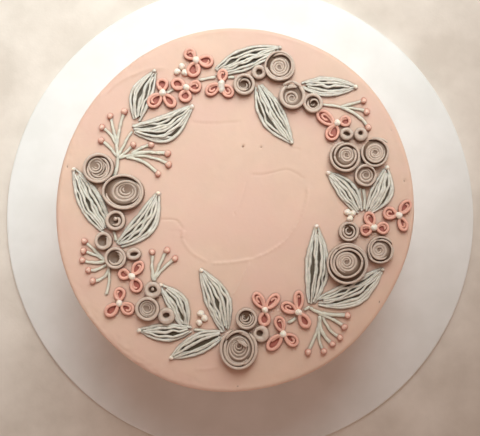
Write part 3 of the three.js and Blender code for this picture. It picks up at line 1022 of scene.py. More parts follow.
@dataclass(frozen=True)
class Rose:
    """A rolled rose: rims and strokes round either a whorl or a thick ring with a hollow.

    A rose with turns has the whorl, and one without either turns or strokes has the ring. Bowl
    gives how high the whorl stands at its outside and at its eye, as shares of the rim's height.
    """

    number: int
    at: Point
    width: float
    turns: float = 0.0
    rims: int = 0
    rim: float = 1.2
    rim_gap: float = 0.4
    core: float = 0.0
    core_at: Point = (0.0, 0.0)
    drift: Point = (0.0, 0.0)
    bowl: Point = (0.9, 0.7)
    inner: float = 0.35
    hollow: Hollow = Hollow((0.0, 0.0), (1.4, 1.4))
    bead: float = 0.0
    folds: tuple[tuple[Point, Point], ...] = ()
    arcs: tuple[Arc, ...] = ()
    stretch: float = 1.0
    fill: float = 0.85

    @property
    def height(self) -> float:
        """How high its rim stands over the frosting."""
        return 3.4 + 0.155 * self.width

    @property
    def core_radius(self) -> float:
        """The outer radius of what lies inside its rims."""
        return self.core or self.width / 2 - self.rims * (self.rim + self.rim_gap)

    def add_bed(self, draft: MeshDraft) -> None:
        """Adds the dished floor that is seen down between its walls and in its hollows, in low tones that give it
        painted shade.
        """
        outer = self.width / 2 * 0.88
        low = (0.58 if self.turns else 0.46) * self.height
        steps = [(0.0, outer, -FOOT_SINK, 0.0), (0.0, outer, low, 0.1)]
        if self.turns:
            lip, eye = self.bowl[0] * self.height, self.bowl[1] * self.height
            steps += [
                (0.0, 0.97 * self.core_radius, low, 0.1),
                (0.0, 0.9 * self.core_radius, lip - 1.0, 0.3),
                (0.5, 0.5 * self.core_radius, (lip + eye) / 2 - 0.9, 0.3),
                (1.0, 0.12 * self.core_radius, eye - 0.9, 0.3),
            ]
        else:
            steps += [(0.0, 0.6 * outer, low, 0.1), (0.0, 0.2 * outer, 0.2 * self.height, 0.0)]
        angles = np.linspace(0, 2 * math.pi, 32, endpoint=False)
        rings, tones = [], []
        for drift, radius, level, tone in steps:
            shift = [at + drift * off for at, off in zip(self.core_at, self.drift)] if level > low else (0, 0)
            rings.append(
                np.stack(
                    [
                        self.at[0] + shift[0] + radius * self.stretch * np.cos(angles),
                        self.at[1] + shift[1] + radius / self.stretch * np.sin(angles),
                        np.full(angles.shape, CAKE_TOP + level),
                    ],
                    axis=1,
                )
            )
            tones.append(np.full(angles.shape, tone))
        draft.add_skin(np.array(rings), np.array(tones))

    def add_core(self, draft: MeshDraft, radius: float, draw: np.random.Generator) -> None:
        """Adds what lies inside the rims: a whorl, or a ring with a hollow and maybe a bead.

        Args:
            draft: what it is added to.
            radius: the ring's outer radius.
            draw: the seeded source of its unevenness.
        """
        centre = (self.at[0] + self.core_at[0], self.at[1] + self.core_at[1])
        if not self.turns:
            level = self.height * (1.0 if not self.rims else 0.9)
            if not self.arcs:
                Ring(centre, radius, self.hollow, level, self.stretch).add(draft, draw)
            if self.bead:
                place = (centre[0] + self.hollow.at[0], centre[1] + self.hollow.at[1] + 0.3)
                Blob(self.bead).add(draft, place, level * 0.62, draw)
            return
        Coil(
            centre=centre,
            radius=self.core_radius,
            turns=self.turns,
            start=draw.uniform(0, 2 * math.pi),
            roll=Roll.CLOCKWISE if draw.random() < 0.3 else Roll.COUNTERCLOCKWISE,
            inner=self.inner,
            height=self.height * self.bowl[0],
            eye_height=self.height * self.bowl[1],
            drift=self.drift,
            fill=self.fill,
            stretch=self.stretch,
        ).add(draft, draw)

    def build(self, material: bpy.types.Material) -> None:
        """Makes the rose from its rims, its core and its folds, and dresses it."""
        draw = np.random.default_rng(100 + self.number)
        draft = MeshDraft()
        self.add_bed(draft)
        outer = self.width / 2
        for turn in range(self.rims):
            inner = outer - self.rim
            slip = draw.uniform(-0.2, 0.2, 2)
            hollow = Hollow((slip[0], slip[1]), (inner * self.stretch, inner / self.stretch))
            Ring(self.at, outer, hollow, self.height * (1 - 0.05 * turn), self.stretch).add(draft, draw)
            outer = inner - self.rim_gap
        self.add_core(draft, outer, draw)
        for arc in self.arcs:
            arc.add(draft, self, draw)
        for start, end in self.folds:
            steps = np.linspace(0, 1, 14)
            bow = 0.5 * np.sin(math.pi * steps)
            plan = np.array(self.at) + np.outer(1 - steps, start) + np.outer(steps, end)
            plan[:, 1] += bow
            ends = np.sin(math.pi * (0.1 + 0.8 * steps)) ** 0.5
            radius = 0.75 * ends * (1 + 0.15 * wander(steps, 5, draw))
            Thread().add(draft, plan, radius, self.height * 0.93 - radius)
        piece = draft.build(f"piped_rose_{self.number:02d}", material, Slot.ROSE)
        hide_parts(f"rose_{self.number:02d}")


@dataclass(frozen=True)
class Leaf:
    """A leaf of threads laid side by side from its base to its tip, with deep gaps between some.

    Gaps are given across the leaf, from -1 at its right edge to 1 at its left edge.
    """

    number: int
    base: Point
    tip: Point
    width: float
    belly: float
    gaps: tuple[float, ...]
    height: float = 3.6
    edge_height: float = 1.5
    blunt: float = 0.07
    pitch: float = 1.65
    gap_width: float = 0.72
    dot: float = 1.25

    @property
    def point(self) -> Point:
        """Where the knob on its tip lies."""
        way = np.subtract(self.tip, self.base) / math.dist(self.base, self.tip)
        return (self.tip[0] + 0.4 * way[0], self.tip[1] + 0.4 * way[1])

    def plan(self, along: np.ndarray, across: np.ndarray) -> np.ndarray:
        """Places on the leaf in plan.

        Args:
            along: from 0 at the base to 1 at the tip.
            across: from -1 at the right edge to 1 at the left edge.

        Returns:
            The places, shaped (n, 2).
        """
        base, tip = np.array(self.base), np.array(self.tip)
        way = (tip - base) / np.linalg.norm(tip - base)
        left = np.array([-way[1], way[0]])
        bow = self.belly * np.sin(math.pi * along)
        open_share = np.sin(math.pi * np.clip(self.blunt + (1 - 1.35 * self.blunt) * along, 0, 1))
        spread = self.width / 2 * np.maximum(open_share, 0) ** 0.9
        return base + along[:, None] * (tip - base) + (bow + across * spread)[:, None] * left

    def crown(self, along: np.ndarray, across: np.ndarray) -> np.ndarray:
        """The height of the leaf's top, highest along its middle."""
        arch = (1 - np.minimum(across**2, 1)) ** 0.6
        rise = 0.6 + 0.4 * np.sin(math.pi * np.clip(along, 0, 1))
        return (self.edge_height + (self.height - self.edge_height) * arch) * rise

    def add_bed(self, draft: MeshDraft) -> None:
        """Adds the low bed of icing that is seen down between the threads, in a low tone that gives it painted shade.
        """
        rows = []
        across = np.linspace(0.82, -0.82, 9)
        for along in np.linspace(0.08, 0.88, 16):
            station = np.full(across.shape, along)
            plan = self.plan(station, across)
            level = CAKE_TOP + np.maximum(0.38 * self.crown(station, across), 0.1)
            ends = [np.append(plan[0], CAKE_TOP - FOOT_SINK), np.append(plan[-1], CAKE_TOP - FOOT_SINK)]
            rows.append(np.vstack([ends[0], np.column_stack([plan, level]), ends[1]]))
        rings = np.array(rows)
        draft.add_skin(rings, np.full(rings.shape[:2], 0.12))

    def thread_middles(self) -> list[float]:
        """Where the threads lie across the leaf: evenly between its edges and its gaps."""
        edge = 1 - self.pitch / self.width
        clear = self.gap_width / self.width
        bounds = [-edge]
        for gap in sorted(self.gaps):
            bounds += [gap - clear - self.pitch / self.width, gap + clear + self.pitch / self.width]
        bounds.append(edge)
        middles: list[float] = []
        for low, high in zip(bounds[::2], bounds[1::2]):
            if high - low < 0.25 * self.pitch / self.width:
                middles.append((low + high) / 2)
                continue
            count = max(int(round((high - low) * self.width / 2 / self.pitch)) + 1, 2)
            middles += np.linspace(low, high, count).tolist()
        return middles

    def add_thread(self, draft: MeshDraft, middle: float, draw: np.random.Generator) -> None:
        """Adds one thread, with a knob on each end, to a draft.

        Args:
            draft: what the thread is added to.
            middle: where it lies across the leaf.
            draw: the seeded source of its unevenness.
        """
        edge = 1 - self.pitch / self.width
        outline = abs(middle) > 0.97 * edge
        length = math.dist(self.base, self.tip)
        begin = draw.uniform(-0.02, 0.01) if outline else draw.uniform(-0.01, 0.1)
        end = draw.uniform(1.0, 1.03) if outline else draw.uniform(0.88, 1.0)
        along = np.linspace(begin, end, int(length * 2.4))
        steps = (along - begin) / (end - begin)
        sway = 0.05 if outline else 0.48 * self.pitch / (self.width / 2)
        across = np.clip(middle + sway * wander(steps, length / 5, draw), -edge - 0.04, edge + 0.04)
        taper = 0.6 + 0.4 * np.sin(math.pi * np.clip(along, 0.03, 0.97)) ** 0.7
        beads = 1 + 0.2 * wander(steps, length / 2.4, draw) + 0.09 * wander(steps, length, draw)
        girth = 1.18 if outline else draw.uniform(0.88, 1.16)
        radius = 0.52 * self.pitch * taper * beads * girth
        distance = np.minimum(steps, 1 - steps) * length * (end - begin)
        knob = 1.08 + draw.uniform(-0.1, 0.15)
        swell_share = np.exp(-(((distance - 0.8) / 0.8) ** 2)) * draw.uniform(0.4, 1.05)
        radius = np.maximum(radius, knob * swell_share) * np.sqrt(np.clip((distance + 0.12) / 0.9, 0, 1))
        lift = -0.1 if outline else draw.uniform(-0.75, 0.2)
        centre = self.crown(along, across) - radius + lift + 0.4 * wander(steps, length / 4, draw)
        Thread().add(draft, self.plan(along, across), radius, np.maximum(centre, 0.25))

    def build(self, material: bpy.types.Material) -> None:
        """Makes the leaf from its bed and its threads, and dresses it."""
        draw = np.random.default_rng(300 + self.number)
        draft = MeshDraft()
        self.add_bed(draft)
        for middle in self.thread_middles():
            self.add_thread(draft, middle, draw)
        Blob(1.2).add(draft, self.point, 1.6, draw)
        piece = draft.build(f"piped_leaf_{self.number:02d}", material, Slot.LEAF)
        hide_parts(f"leaf_{self.number:02d}")


@dataclass(frozen=True)
class Petal:
    """A loop of icing that goes out from the flower's middle and back, and maybe on inside.

    Its way is in degrees. Far is how far its tip lies from the flower's middle.
    """

    way: float
    far: float
    width: float
    loops: float = 1.6
    near: float = 0.9
    point: float = 0.12
    tilt: float = 0.0
    height: float = 3.4
    half: float = 0.9

    def add(self, draft: MeshDraft, flower: Point, draw: np.random.Generator) -> None:
        """Adds the petal and the floor of its hollow to a draft.

        Args:
            draft: what the petal is added to.
            flower: the middle of its flower.
            draw: the seeded source of its unevenness.
        """
        way = math.radians(self.way)
        out = (self.near + self.far) / 2
        middle = np.array([flower[0] + out * math.cos(way), flower[1] + out * math.sin(way)])
        steps = np.linspace(0, 1, int(46 * self.loops))
        roll = 1 if draw.random() < 0.5 else -1
        angle = math.pi + roll * 2 * math.pi * self.loops * (steps - 1)
        inside = np.clip((1 - steps) * self.loops - 0.96, 0, None)
        spread = 1 - 0.42 * smooth(inside / 0.3) - 0.45 * np.clip(inside - 0.3, 0, None)
        spread = np.maximum(spread, 0.2) * (1 + 0.035 * wander(steps, 6 * self.loops, draw))
        turn = way + math.radians(self.tilt)
        length = (self.far - self.near) / 2 - self.half
        forward = spread * length * np.cos(angle)
        side = self.width / 2 - self.half
        sideways = spread * side * np.sin(angle) * (1 + 0.18 * np.cos(angle)) * np.abs(np.sin(angle)) ** self.point
        path = np.stack(
            [
                middle[0] + forward * math.cos(turn) - sideways * math.sin(turn),
                middle[1] + forward * math.sin(turn) + sideways * math.cos(turn),
            ],
            axis=1,
        )
        tail = np.minimum(smooth(steps * self.loops / 0.12), smooth((1 - steps) * self.loops / 0.12))
        thickness = self.half + (0.15 if self.loops < 1.4 else 0.0)
        half = thickness * (0.55 + 0.45 * tail) * (1 + 0.1 * wander(steps, 5 * self.loops, draw))
        half *= 1 - 0.2 * smooth(inside / 0.2)
        crest = self.height * (1 - 0.2 * smooth(inside / 0.3)) * (1 + 0.07 * wander(steps, 5 * self.loops, draw))
        Wall().add(draft, path, half, np.minimum(crest, self.height))
        # Painted shade: the floor of the petal's hollow has a low tone.
        rings = np.array(
            [
                np.column_stack([middle + share * (path[-46::3] - middle), np.full(16, level)])
                for share, level in ((0.95, CAKE_TOP - FOOT_SINK), (0.95, CAKE_TOP + 1.6), (0.4, CAKE_TOP + 1.3))
            ]
        )
        if roll < 0:
            rings = rings[:, ::-1]
        draft.add_skin(rings, np.full(rings.shape[:2], 0.26))


@dataclass(frozen=True)
class Flower:
    """A flower of three petals round a pearl, which may have run down towards the viewer."""

    number: int
    at: Point
    petals: tuple[Petal, ...]
    pearl_run: float = 0.0

    def build(self, material: bpy.types.Material) -> None:
        """Makes the petals and dresses them."""
        draw = np.random.default_rng(500 + self.number)
        draft = MeshDraft()
        for petal in self.petals:
            petal.add(draft, self.at, draw)
        piece = draft.build(f"piped_flower_{self.number:02d}", material, Slot.PETAL)
        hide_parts(f"flower_{self.number:02d}")


@dataclass(frozen=True)
class Stem:
    """A thread of icing that bends once on its way, with a berry on its end unless it is bare."""

    start: Point
    bend: Point
    end: Point
    bare: bool = False
    radius: float = 0.9

    def path(self, steps: np.ndarray) -> np.ndarray:
        """Places along the stem, shaped (n, 2), for steps from 0 to 1."""
        start, bend, end = (np.array(p) for p in (self.start, self.bend, self.end))
        s = steps[:, None]
        return (1 - s) ** 2 * start + 2 * s * (1 - s) * bend + s**2 * end

    def add(self, draft: MeshDraft, draw: np.random.Generator) -> None:
        """Adds the stem to a draft.

        Args:
            draft: what the stem is added to.
            draw: the seeded source of its unevenness.
        """
        length = math.dist(self.start, self.bend) + math.dist(self.bend, self.end)
        steps = np.linspace(0, 1, max(int(length * 2.5), 10))
        path = self.path(steps)
        ahead = np.gradient(path, axis=0)
        ahead /= np.linalg.norm(ahead, axis=1, keepdims=True)
        side = np.stack([ahead[:, 1], -ahead[:, 0]], axis=1)
        path = path + side * (0.24 * wander(steps, length / 3, draw))[:, None]
        ends = np.minimum(smooth(steps / 0.06 + 0.3), smooth((1 - steps) / 0.06 + 0.3))
        radius = self.radius * (1 + 0.17 * wander(steps, length / 2, draw)) * ends
        Thread().add(draft, path, radius, radius * 0.75)


@dataclass(frozen=True)
class Spray:
    """Stems that fan out from their foot."""

    number: int
    stems: tuple[Stem, ...]

    def build(self, material: bpy.types.Material) -> None:
        """Makes the stems and dresses them."""
        draw = np.random.default_rng(700 + self.number)
        draft = MeshDraft()
        for stem in self.stems:
            stem.add(draft, draw)
        piece = draft.build(f"piped_spray_{self.number:02d}", material, Slot.SPRAY)
        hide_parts(f"spray_{self.number:02d}")


# ---- The wreath


ROSES = (
    Rose(
        1, (26.4, 80.4), 17.5, 3.2, core=5.8, core_at=(-0.5, -0.6), bowl=(0.92, 0.8),
        arcs=(
            Arc(-62, 360, (8.0, 8.0), 1.4),
            Arc(-128, 255, (6.8, 6.7), 1.2, 0.96),
            Arc(185, 135, (7.5, 7.6), 2.2, 0.92),
        ),
    ),
    Rose(2, (14.4, 77.2), 8.4, hollow=Hollow((0.2, 0.0), (1.65, 1.6))),
    Rose(
        3, (5.9, 70.2), 12.6,
        arcs=(
            Arc(60, 360, (5.3, 5.3), 1.9),
            Arc(100, 215, (3.7, 3.3), 1.3, 0.84),
            Arc(-40, 190, (3.4, 2.7), 1.2, 0.76),
            Arc(190, 210, (2.3, 1.6), 1.0, 0.66, (0.1, -0.3)),
        ),
    ),
    Rose(
        4, (33.2, 63.4), 15.6, 1.8, core=4.5, core_at=(-0.2, -1.0), bowl=(0.72, 0.42), inner=0.6, fill=0.62,
        arcs=(Arc(118, 300, (6.4, 6.6), 2.3), Arc(60, 70, (5.7, 5.5), 1.8, 0.94)),
        folds=(((-4.9, 6.2), (0.4, 8.1)), ((0.2, 8.1), (6.6, 3.6)), ((-2.6, 4.4), (2.3, 4.7))),
    ),
    Rose(
        5, (44.9, 59.2), 11.4,
        arcs=(
            Arc(55, 360, (4.7, 4.7), 1.9),
            Arc(150, 225, (3.0, 3.0), 1.4, 0.88, (0.2, -0.2)),
            Arc(-20, 190, (2.9, 1.7), 1.1, 0.84, (0.2, -0.1)),
            Arc(200, 150, (1.4, 0.7), 0.9, 0.72, (0.2, 0.0)),
        ),
    ),
    Rose(6, (64.0, 41.8), 7.6, hollow=Hollow((0.0, 0.1), (1.9, 0.95), -20)),
    Rose(7, (72.0, 41.4), 7.8, hollow=Hollow((-0.3, 0.9), (1.15, 1.0))),
    Rose(
        8, (63.4, 29.2), 18.0, 2.7, core=4.8, core_at=(0.2, 0.3), drift=(0.3, 0.5), bowl=(0.85, 0.6),
        arcs=(
            Arc(98, 262, (8.2, 7.9), 1.6),
            Arc(-45, 235, (7.3, 6.5), 1.5, 0.97),
            Arc(165, 240, (6.3, 5.6), 1.5, 0.93),
        ),
    ),
    Rose(
        9, (80.2, 31.2), 16.6, 3.5, core=6.1, core_at=(-0.4, -0.4), bowl=(0.95, 0.82),
        arcs=(Arc(148, 195, (7.6, 7.3), 1.4), Arc(-52, 168, (6.9, 7.5), 1.3, 0.98)),
        folds=(((0.8, 7.9), (6.6, 5.5)),),
    ),
    Rose(10, (74.4, 18.2), 12.6, 2.1, rims=1, rim=1.5, rim_gap=0.25, bowl=(0.66, 0.32), drift=(0.4, 0.7), inner=0.7, fill=0.72),
    Rose(
        11, (64.8, -13.4), 11.6,
        arcs=(
            Arc(70, 360, (4.9, 4.9), 1.6),
            Arc(125, 325, (3.4, 3.0), 1.3, 0.9, (0.1, 0.0)),
            Arc(100, 255, (2.0, 1.5), 1.1, 0.8, (0.2, 0.2)),
        ),
    ),
    Rose(
        12, (63.8, -31.2), 23.2, 3.6, core=6.6, core_at=(0.1, 0.3), drift=(-0.5, 0.5),
        arcs=(
            Arc(62, 360, (10.7, 10.7), 1.4, at=(0.1, -0.2)),
            Arc(-68, 200, (10.7, 9.3), 1.5, 0.99, (0.1, 0.2)),
            Arc(115, 260, (9.2, 8.5), 1.4, 0.97, (-0.3, 0.3)),
            Arc(-5, 265, (8.3, 7.4), 1.4, 0.95, (0.3, -0.3)),
        ),
    ),
    Rose(
        13, (82.6, -23.8), 15.6, 2.6, core=5.1, core_at=(-0.7, -0.4), drift=(-0.3, 0.3), bowl=(0.88, 0.66),
        arcs=(
            Arc(28, 205, (7.1, 6.8), 1.2),
            Arc(198, 175, (7.2, 6.9), 1.2),
            Arc(-42, 155, (6.6, 5.5), 1.1, 0.98),
            Arc(98, 215, (5.9, 5.3), 1.2, 0.95),
        ),
    ),
    Rose(
        14, (7.2, -62.4), 12.4,
        arcs=(
            Arc(80, 360, (5.3, 5.3), 1.6),
            Arc(190, 215, (4.0, 4.1), 1.2, 0.86, (-0.1, 0.1)),
            Arc(160, 250, (2.9, 3.0), 1.1, 0.74, (-0.3, 0.3)),
            Arc(120, 260, (1.8, 1.7), 1.0, 0.64, (-0.6, 0.6)),
            Arc(100, 200, (0.8, 0.6), 0.8, 0.58, (-0.8, 0.9)),
        ),
    ),
    Rose(15, (15.6, -70.9), 9.2, hollow=Hollow((-0.9, 0.4), (1.75, 1.6))),
    Rose(
        16, (3.1, -79.0), 21.6, 4.7, core=7.7, core_at=(0.0, -0.6), drift=(-0.4, 2.2), bowl=(0.86, 0.5),
        arcs=(
            Arc(112, 300, (10.0, 10.0), 1.7),
            Arc(148, 150, (8.3, 8.8), 1.8, 0.95),
            Arc(-80, 170, (8.5, 8.5), 1.6, 0.95),
            Arc(40, 112, (9.3, 9.0), 1.4, 0.98),
        ),
        folds=(((-0.6, 4.4), (5.0, 1.4)), ((-0.2, 3.6), (4.4, 0.8))),
        stretch=0.95, fill=0.7,
    ),
    Rose(17, (-45.6, -46.4), 9.8, hollow=Hollow((0.0, 0.3), (2.3, 1.7)), bead=0.95),
    Rose(
        18, (-48.3, -57.0), 13.8, 2.8, core=5.1, core_at=(0.2, -0.1), drift=(-1.0, 0.6), bowl=(0.76, 0.38),
        inner=1.1, fill=0.7, arcs=(Arc(75, 360, (5.9, 5.9), 1.9),),
    ),
    Rose(19, (-37.8, -61.0), 9.6, hollow=Hollow((-0.1, 0.5), (1.8, 1.3), 15)),
    Rose(
        20, (-76.6, 22.6), 17.2, 3.1, core=5.5, core_at=(-1.3, 1.1), drift=(-0.3, 0.4), bowl=(0.72, 0.42),
        fill=0.68,
        arcs=(
            Arc(-70, 360, (7.7, 7.7), 1.8),
            Arc(168, 270, (6.2, 6.1), 1.4, 0.96, (0.1, -0.1)),
            Arc(-150, 200, (4.9, 4.8), 1.2, 0.9, (0.1, -0.2)),
        ),
    ),
    Rose(
        21, (-62.1, 9.2), 22.2, 3.8, core=7.9, core_at=(0.8, -0.4), drift=(0.5, 1.8), bowl=(0.86, 0.36),
        inner=1.0, stretch=1.1, fill=0.76,
        arcs=(
            Arc(195, 360, (10.4, 10.4), 1.5),
            Arc(186, 215, (9.3, 8.9), 1.4, 0.97),
        ),
    ),
    Rose(
        22, (-66.8, -6.8), 11.4, hollow=Hollow((-0.1, 0.4), (3.0, 2.5)), bead=1.25,
        arcs=(
            Arc(40, 360, (4.7, 4.7), 2.0),
            Arc(-125, 190, (2.9, 1.9), 1.7, 0.9, (0.1, -0.1)),
        ),
    ),
    Rose(
        23, (-73.7, -18.6), 10.4,
        arcs=(
            Arc(70, 360, (4.2, 4.2), 2.0),
            Arc(-150, 215, (3.1, 2.9), 1.2, 0.88, (0.1, -0.3)),
        ),
        folds=(((2.7, 3.3), (2.4, -4.2)), ((-3.9, -2.4), (-1.4, -4.6))),
    ),
    Rose(
        24, (-66.8, -28.2), 12.4,
        arcs=(
            Arc(140, 360, (5.2, 5.2), 1.8),
            Arc(-160, 250, (3.9, 3.8), 1.3, 0.93),
            Arc(-135, 205, (3.0, 2.9), 1.2, 0.86, (0.3, -0.4)),
            Arc(-120, 165, (2.0, 1.9), 1.2, 0.78, (0.7, -0.9)),
        ),
    ),
    Rose(25, (-56.6, -26.0), 7.8, hollow=Hollow((0.4, -0.1), (2.2, 0.95), 12), stretch=1.12),
)

LEAVES = (
    Leaf(1, (-55.3, 50.4), (-45.4, 78.0), 12.8, 2.4, (-0.35, 0.1), dot=0.0),
    Leaf(2, (-57.7, 45.0), (-24.1, 57.7), 15.4, -6.3, (-0.6, -0.25, 0.4)),
    Leaf(3, (-10.4, 77.6), (25.9, 91.3), 12.8, 0.9, (-0.5, 0.3), dot=0.0),
    Leaf(4, (13.9, 69.9), (32.6, 37.6), 14.2, -1.8, (-0.4, 0.35), dot=0.0),
    Leaf(5, (39.0, 69.9), (68.9, 68.8), 11.5, -0.4, (-0.15,)),
    Leaf(6, (71.3, -2.1), (53.9, 19.5), 11.4, -2.0, (-0.1, -0.6)),
    Leaf(7, (76.2, -2.4), (86.5, 22.4), 12.6, -2.6, (-0.25, -0.6)),
    Leaf(8, (44.0, -53.8), (46.8, -10.8), 13.4, -1.8, (-0.15, 0.4)),
    Leaf(9, (47.6, -53.2), (83.4, -34.9), 14.5, -4.4, (0.2, -0.3), dot=0.0),
    Leaf(10, (-4.7, -69.1), (-18.1, -35.6), 14.2, -2.4, (-0.5, 0.1)),
    Leaf(11, (-5.6, -70.8), (-34.8, -84.2), 11.8, -0.8, (0.05,), gap_width=1.5),
    Leaf(12, (-27.1, -67.6), (-41.1, -43.9), 11.6, -2.8, (0.1,), gap_width=1.1),
    Leaf(13, (-23.7, -68.5), (-52.8, -69.1), 9.8, 1.5, (0.15,), gap_width=1.0),
    Leaf(14, (-71.9, -13.4), (-90.8, 22.0), 13.8, 0.5, (-0.35, 0.15)),
    Leaf(15, (-65.3, -20.9), (-43.1, 8.2), 13.4, -4.5, (0.45, -0.15)),
)

FLOWERS = (
    Flower(1, (-21.4, 84.4), (Petal(135, 8.6, 7.0), Petal(-6, 10.0, 7.4), Petal(255, 10.0, 8.0, 1.3))),
    Flower(2, (-40.4, 65.7), (Petal(93, 8.6, 7.0, 1.2), Petal(223, 11.0, 7.8), Petal(311, 10.4, 6.2, 1.0))),
    Flower(3, (-26.9, 68.7), (Petal(158, 9.3, 7.0, 1.3), Petal(8, 8.7, 7.2), Petal(262, 8.4, 7.6, 1.2))),
    Flower(4, (-6.9, 70.9), (Petal(83, 8.5, 6.2), Petal(212, 10.8, 7.0, 1.9), Petal(310, 9.6, 7.0, 1.9)), 3.2),
    Flower(5, (58.7, 48.2), (Petal(157, 13.2, 7.4, 2.0, tilt=-16), Petal(11, 8.0, 6.8, 1.4), Petal(245, 11.0, 8.0))),
    Flower(6, (93.2, -4.3), (Petal(167, 9.4, 7.6, 1.9), Petal(53, 10.6, 6.6), Petal(293, 9.8, 6.2, 1.8))),
    Flower(7, (79.1, -11.2), (Petal(114, 9.8, 7.0), Petal(-3, 8.8, 7.4), Petal(197, 8.2, 6.8, 1.4))),
    Flower(8, (17.7, -57.5), (Petal(122, 11.8, 6.6, 1.9), Petal(48, 12.0, 6.4, 1.8), Petal(266, 9.2, 7.0, 1.0))),
    Flower(9, (36.6, -58.8), (Petal(89, 12.4, 6.2), Petal(156, 11.0, 6.8, 1.9), Petal(304, 10.2, 6.6, 1.2))),
    Flower(10, (27.8, -70.9), (Petal(106, 10.6, 6.6), Petal(225, 12.4, 7.0, 1.3), Petal(325, 10.4, 7.0, 1.8))),
    Flower(11, (-57.5, -38.6), (Petal(56, 10.2, 6.8), Petal(165, 8.2, 6.6, 1.3), Petal(295, 10.0, 7.8, 1.5))),
    Flower(12, (-64.5, -53.7), (Petal(90, 9.0, 7.0, 1.5), Petal(221, 10.4, 6.8, 1.0), Petal(326, 9.8, 7.4, 1.8))),
)

SPRAYS = (
    Spray(
        1,
        (
            Stem((-66.2, 28.3), (-67.0, 40.0), (-70.4, 52.7), radius=1.0),
            Stem((-66.6, 36.0), (-69.6, 42.6), (-75.0, 46.3)),
            Stem((-66.2, 29.6), (-69.6, 34.0), (-75.5, 38.7)),
            Stem((-66.6, 35.0), (-66.0, 46.0), (-62.3, 55.2)),
            Stem((-66.2, 28.3), (-63.0, 36.0), (-58.0, 44.0), bare=True),
            Stem((-66.2, 28.3), (-60.4, 33.0), (-57.2, 36.2)),
            Stem((-58.8, 30.9), (-53.1, 34.8), (-47.0, 36.2)),
            Stem((-66.0, 28.4), (-50.3, 33.7), (-37.5, 31.1), radius=1.0),
            Stem((-58.8, 29.8), (-46.7, 30.9), (-37.0, 24.8)),
            Stem((-61.6, 29.0), (-51.7, 28.7), (-43.0, 19.7)),
            Stem((-68.2, 17.6), (-65.6, 23.5), (-66.0, 29.0), bare=True, radius=1.05),
        ),
    ),
    Spray(
        2,
        (
            Stem((-72.6, -29.6), (-79.0, -24.4), (-84.7, -18.6)),
            Stem((-72.6, -29.6), (-78.6, -26.0), (-85.2, -24.2)),
            Stem((-72.6, -29.6), (-78.6, -32.4), (-85.8, -29.4)),
            Stem((-71.6, -31.6), (-76.4, -35.8), (-82.4, -35.0)),
            Stem((-70.6, -33.0), (-72.6, -41.4), (-79.8, -41.2)),
            Stem((-72.6, -29.6), (-68.6, -34.0), (-72.3, -49.6), bare=True),
        ),
    ),
    Spray(
        3,
        (
            Stem((50.0, 58.8), (69.0, 58.2), (76.2, 45.6)),
            Stem((60.0, 57.0), (66.0, 59.4), (73.8, 61.0)),
            Stem((61.0, 56.6), (68.0, 57.4), (75.5, 54.6)),
        ),
    ),
    Spray(
        4,
        (
            Stem((43.0, -56.2), (50.0, -61.2), (64.2, -60.5), radius=1.1),
            Stem((47.4, -59.6), (56.0, -61.6), (62.3, -67.0)),
            Stem((50.0, -60.8), (53.4, -70.0), (59.9, -72.9)),
            Stem((48.8, -60.4), (47.4, -71.4), (55.6, -76.5), radius=1.05),
            Stem((48.8, -60.4), (46.0, -74.0), (50.7, -80.6)),
            Stem((48.8, -60.4), (48.0, -68.4), (41.9, -81.1)),
        ),
    ),
    Spray(
        5,
        (
            Stem((-45.3, -41.6), (-46.6, -33.0), (-46.2, -24.9)),
            Stem((-45.3, -41.6), (-42.4, -32.4), (-37.8, -23.8)),
            Stem((-45.3, -41.6), (-40.4, -33.4), (-33.2, -28.5)),
        ),
    ),
)

LOOSE_STEMS = (
    Stem((-19.8, 73.0), (-15.0, 74.6), (-10.2, 74.8), bare=True),
    Stem((-3.6, 74.7), (-1.6, 74.5), (0.6, 74.7), bare=True),
    Stem((-38.4, 65.9), (-36.0, 67.2), (-33.6, 68.2), bare=True),
    Stem((39.5, -57.6), (41.2, -56.8), (43.0, -55.6), bare=True),
    Stem((71.2, -1.2), (71.4, 5.0), (71.6, 11.6), bare=True, radius=0.75),
    Stem((73.8, -1.2), (74.3, 5.0), (73.6, 11.2), bare=True),
    Stem((30.4, -64.8), (33.0, -63.6), (35.3, -62.1), bare=True),
    Stem((-22.8, -68.6), (-14.0, -68.8), (-7.4, -71.4), bare=True),
    Stem((-68.2, -12.9), (-67.6, -16.0), (-66.6, -18.6), bare=True),
)

LOOSE_PEARLS = (
    (-29.6, 81.0), (-27.8, 77.4), (-32.2, 78.0),
    (64.4, -2.4), (67.2, -3.2), (65.8, -6.0),
    (-18.5, -59.5), (-16.4, -62.2), (-19.4, -64.8),
)


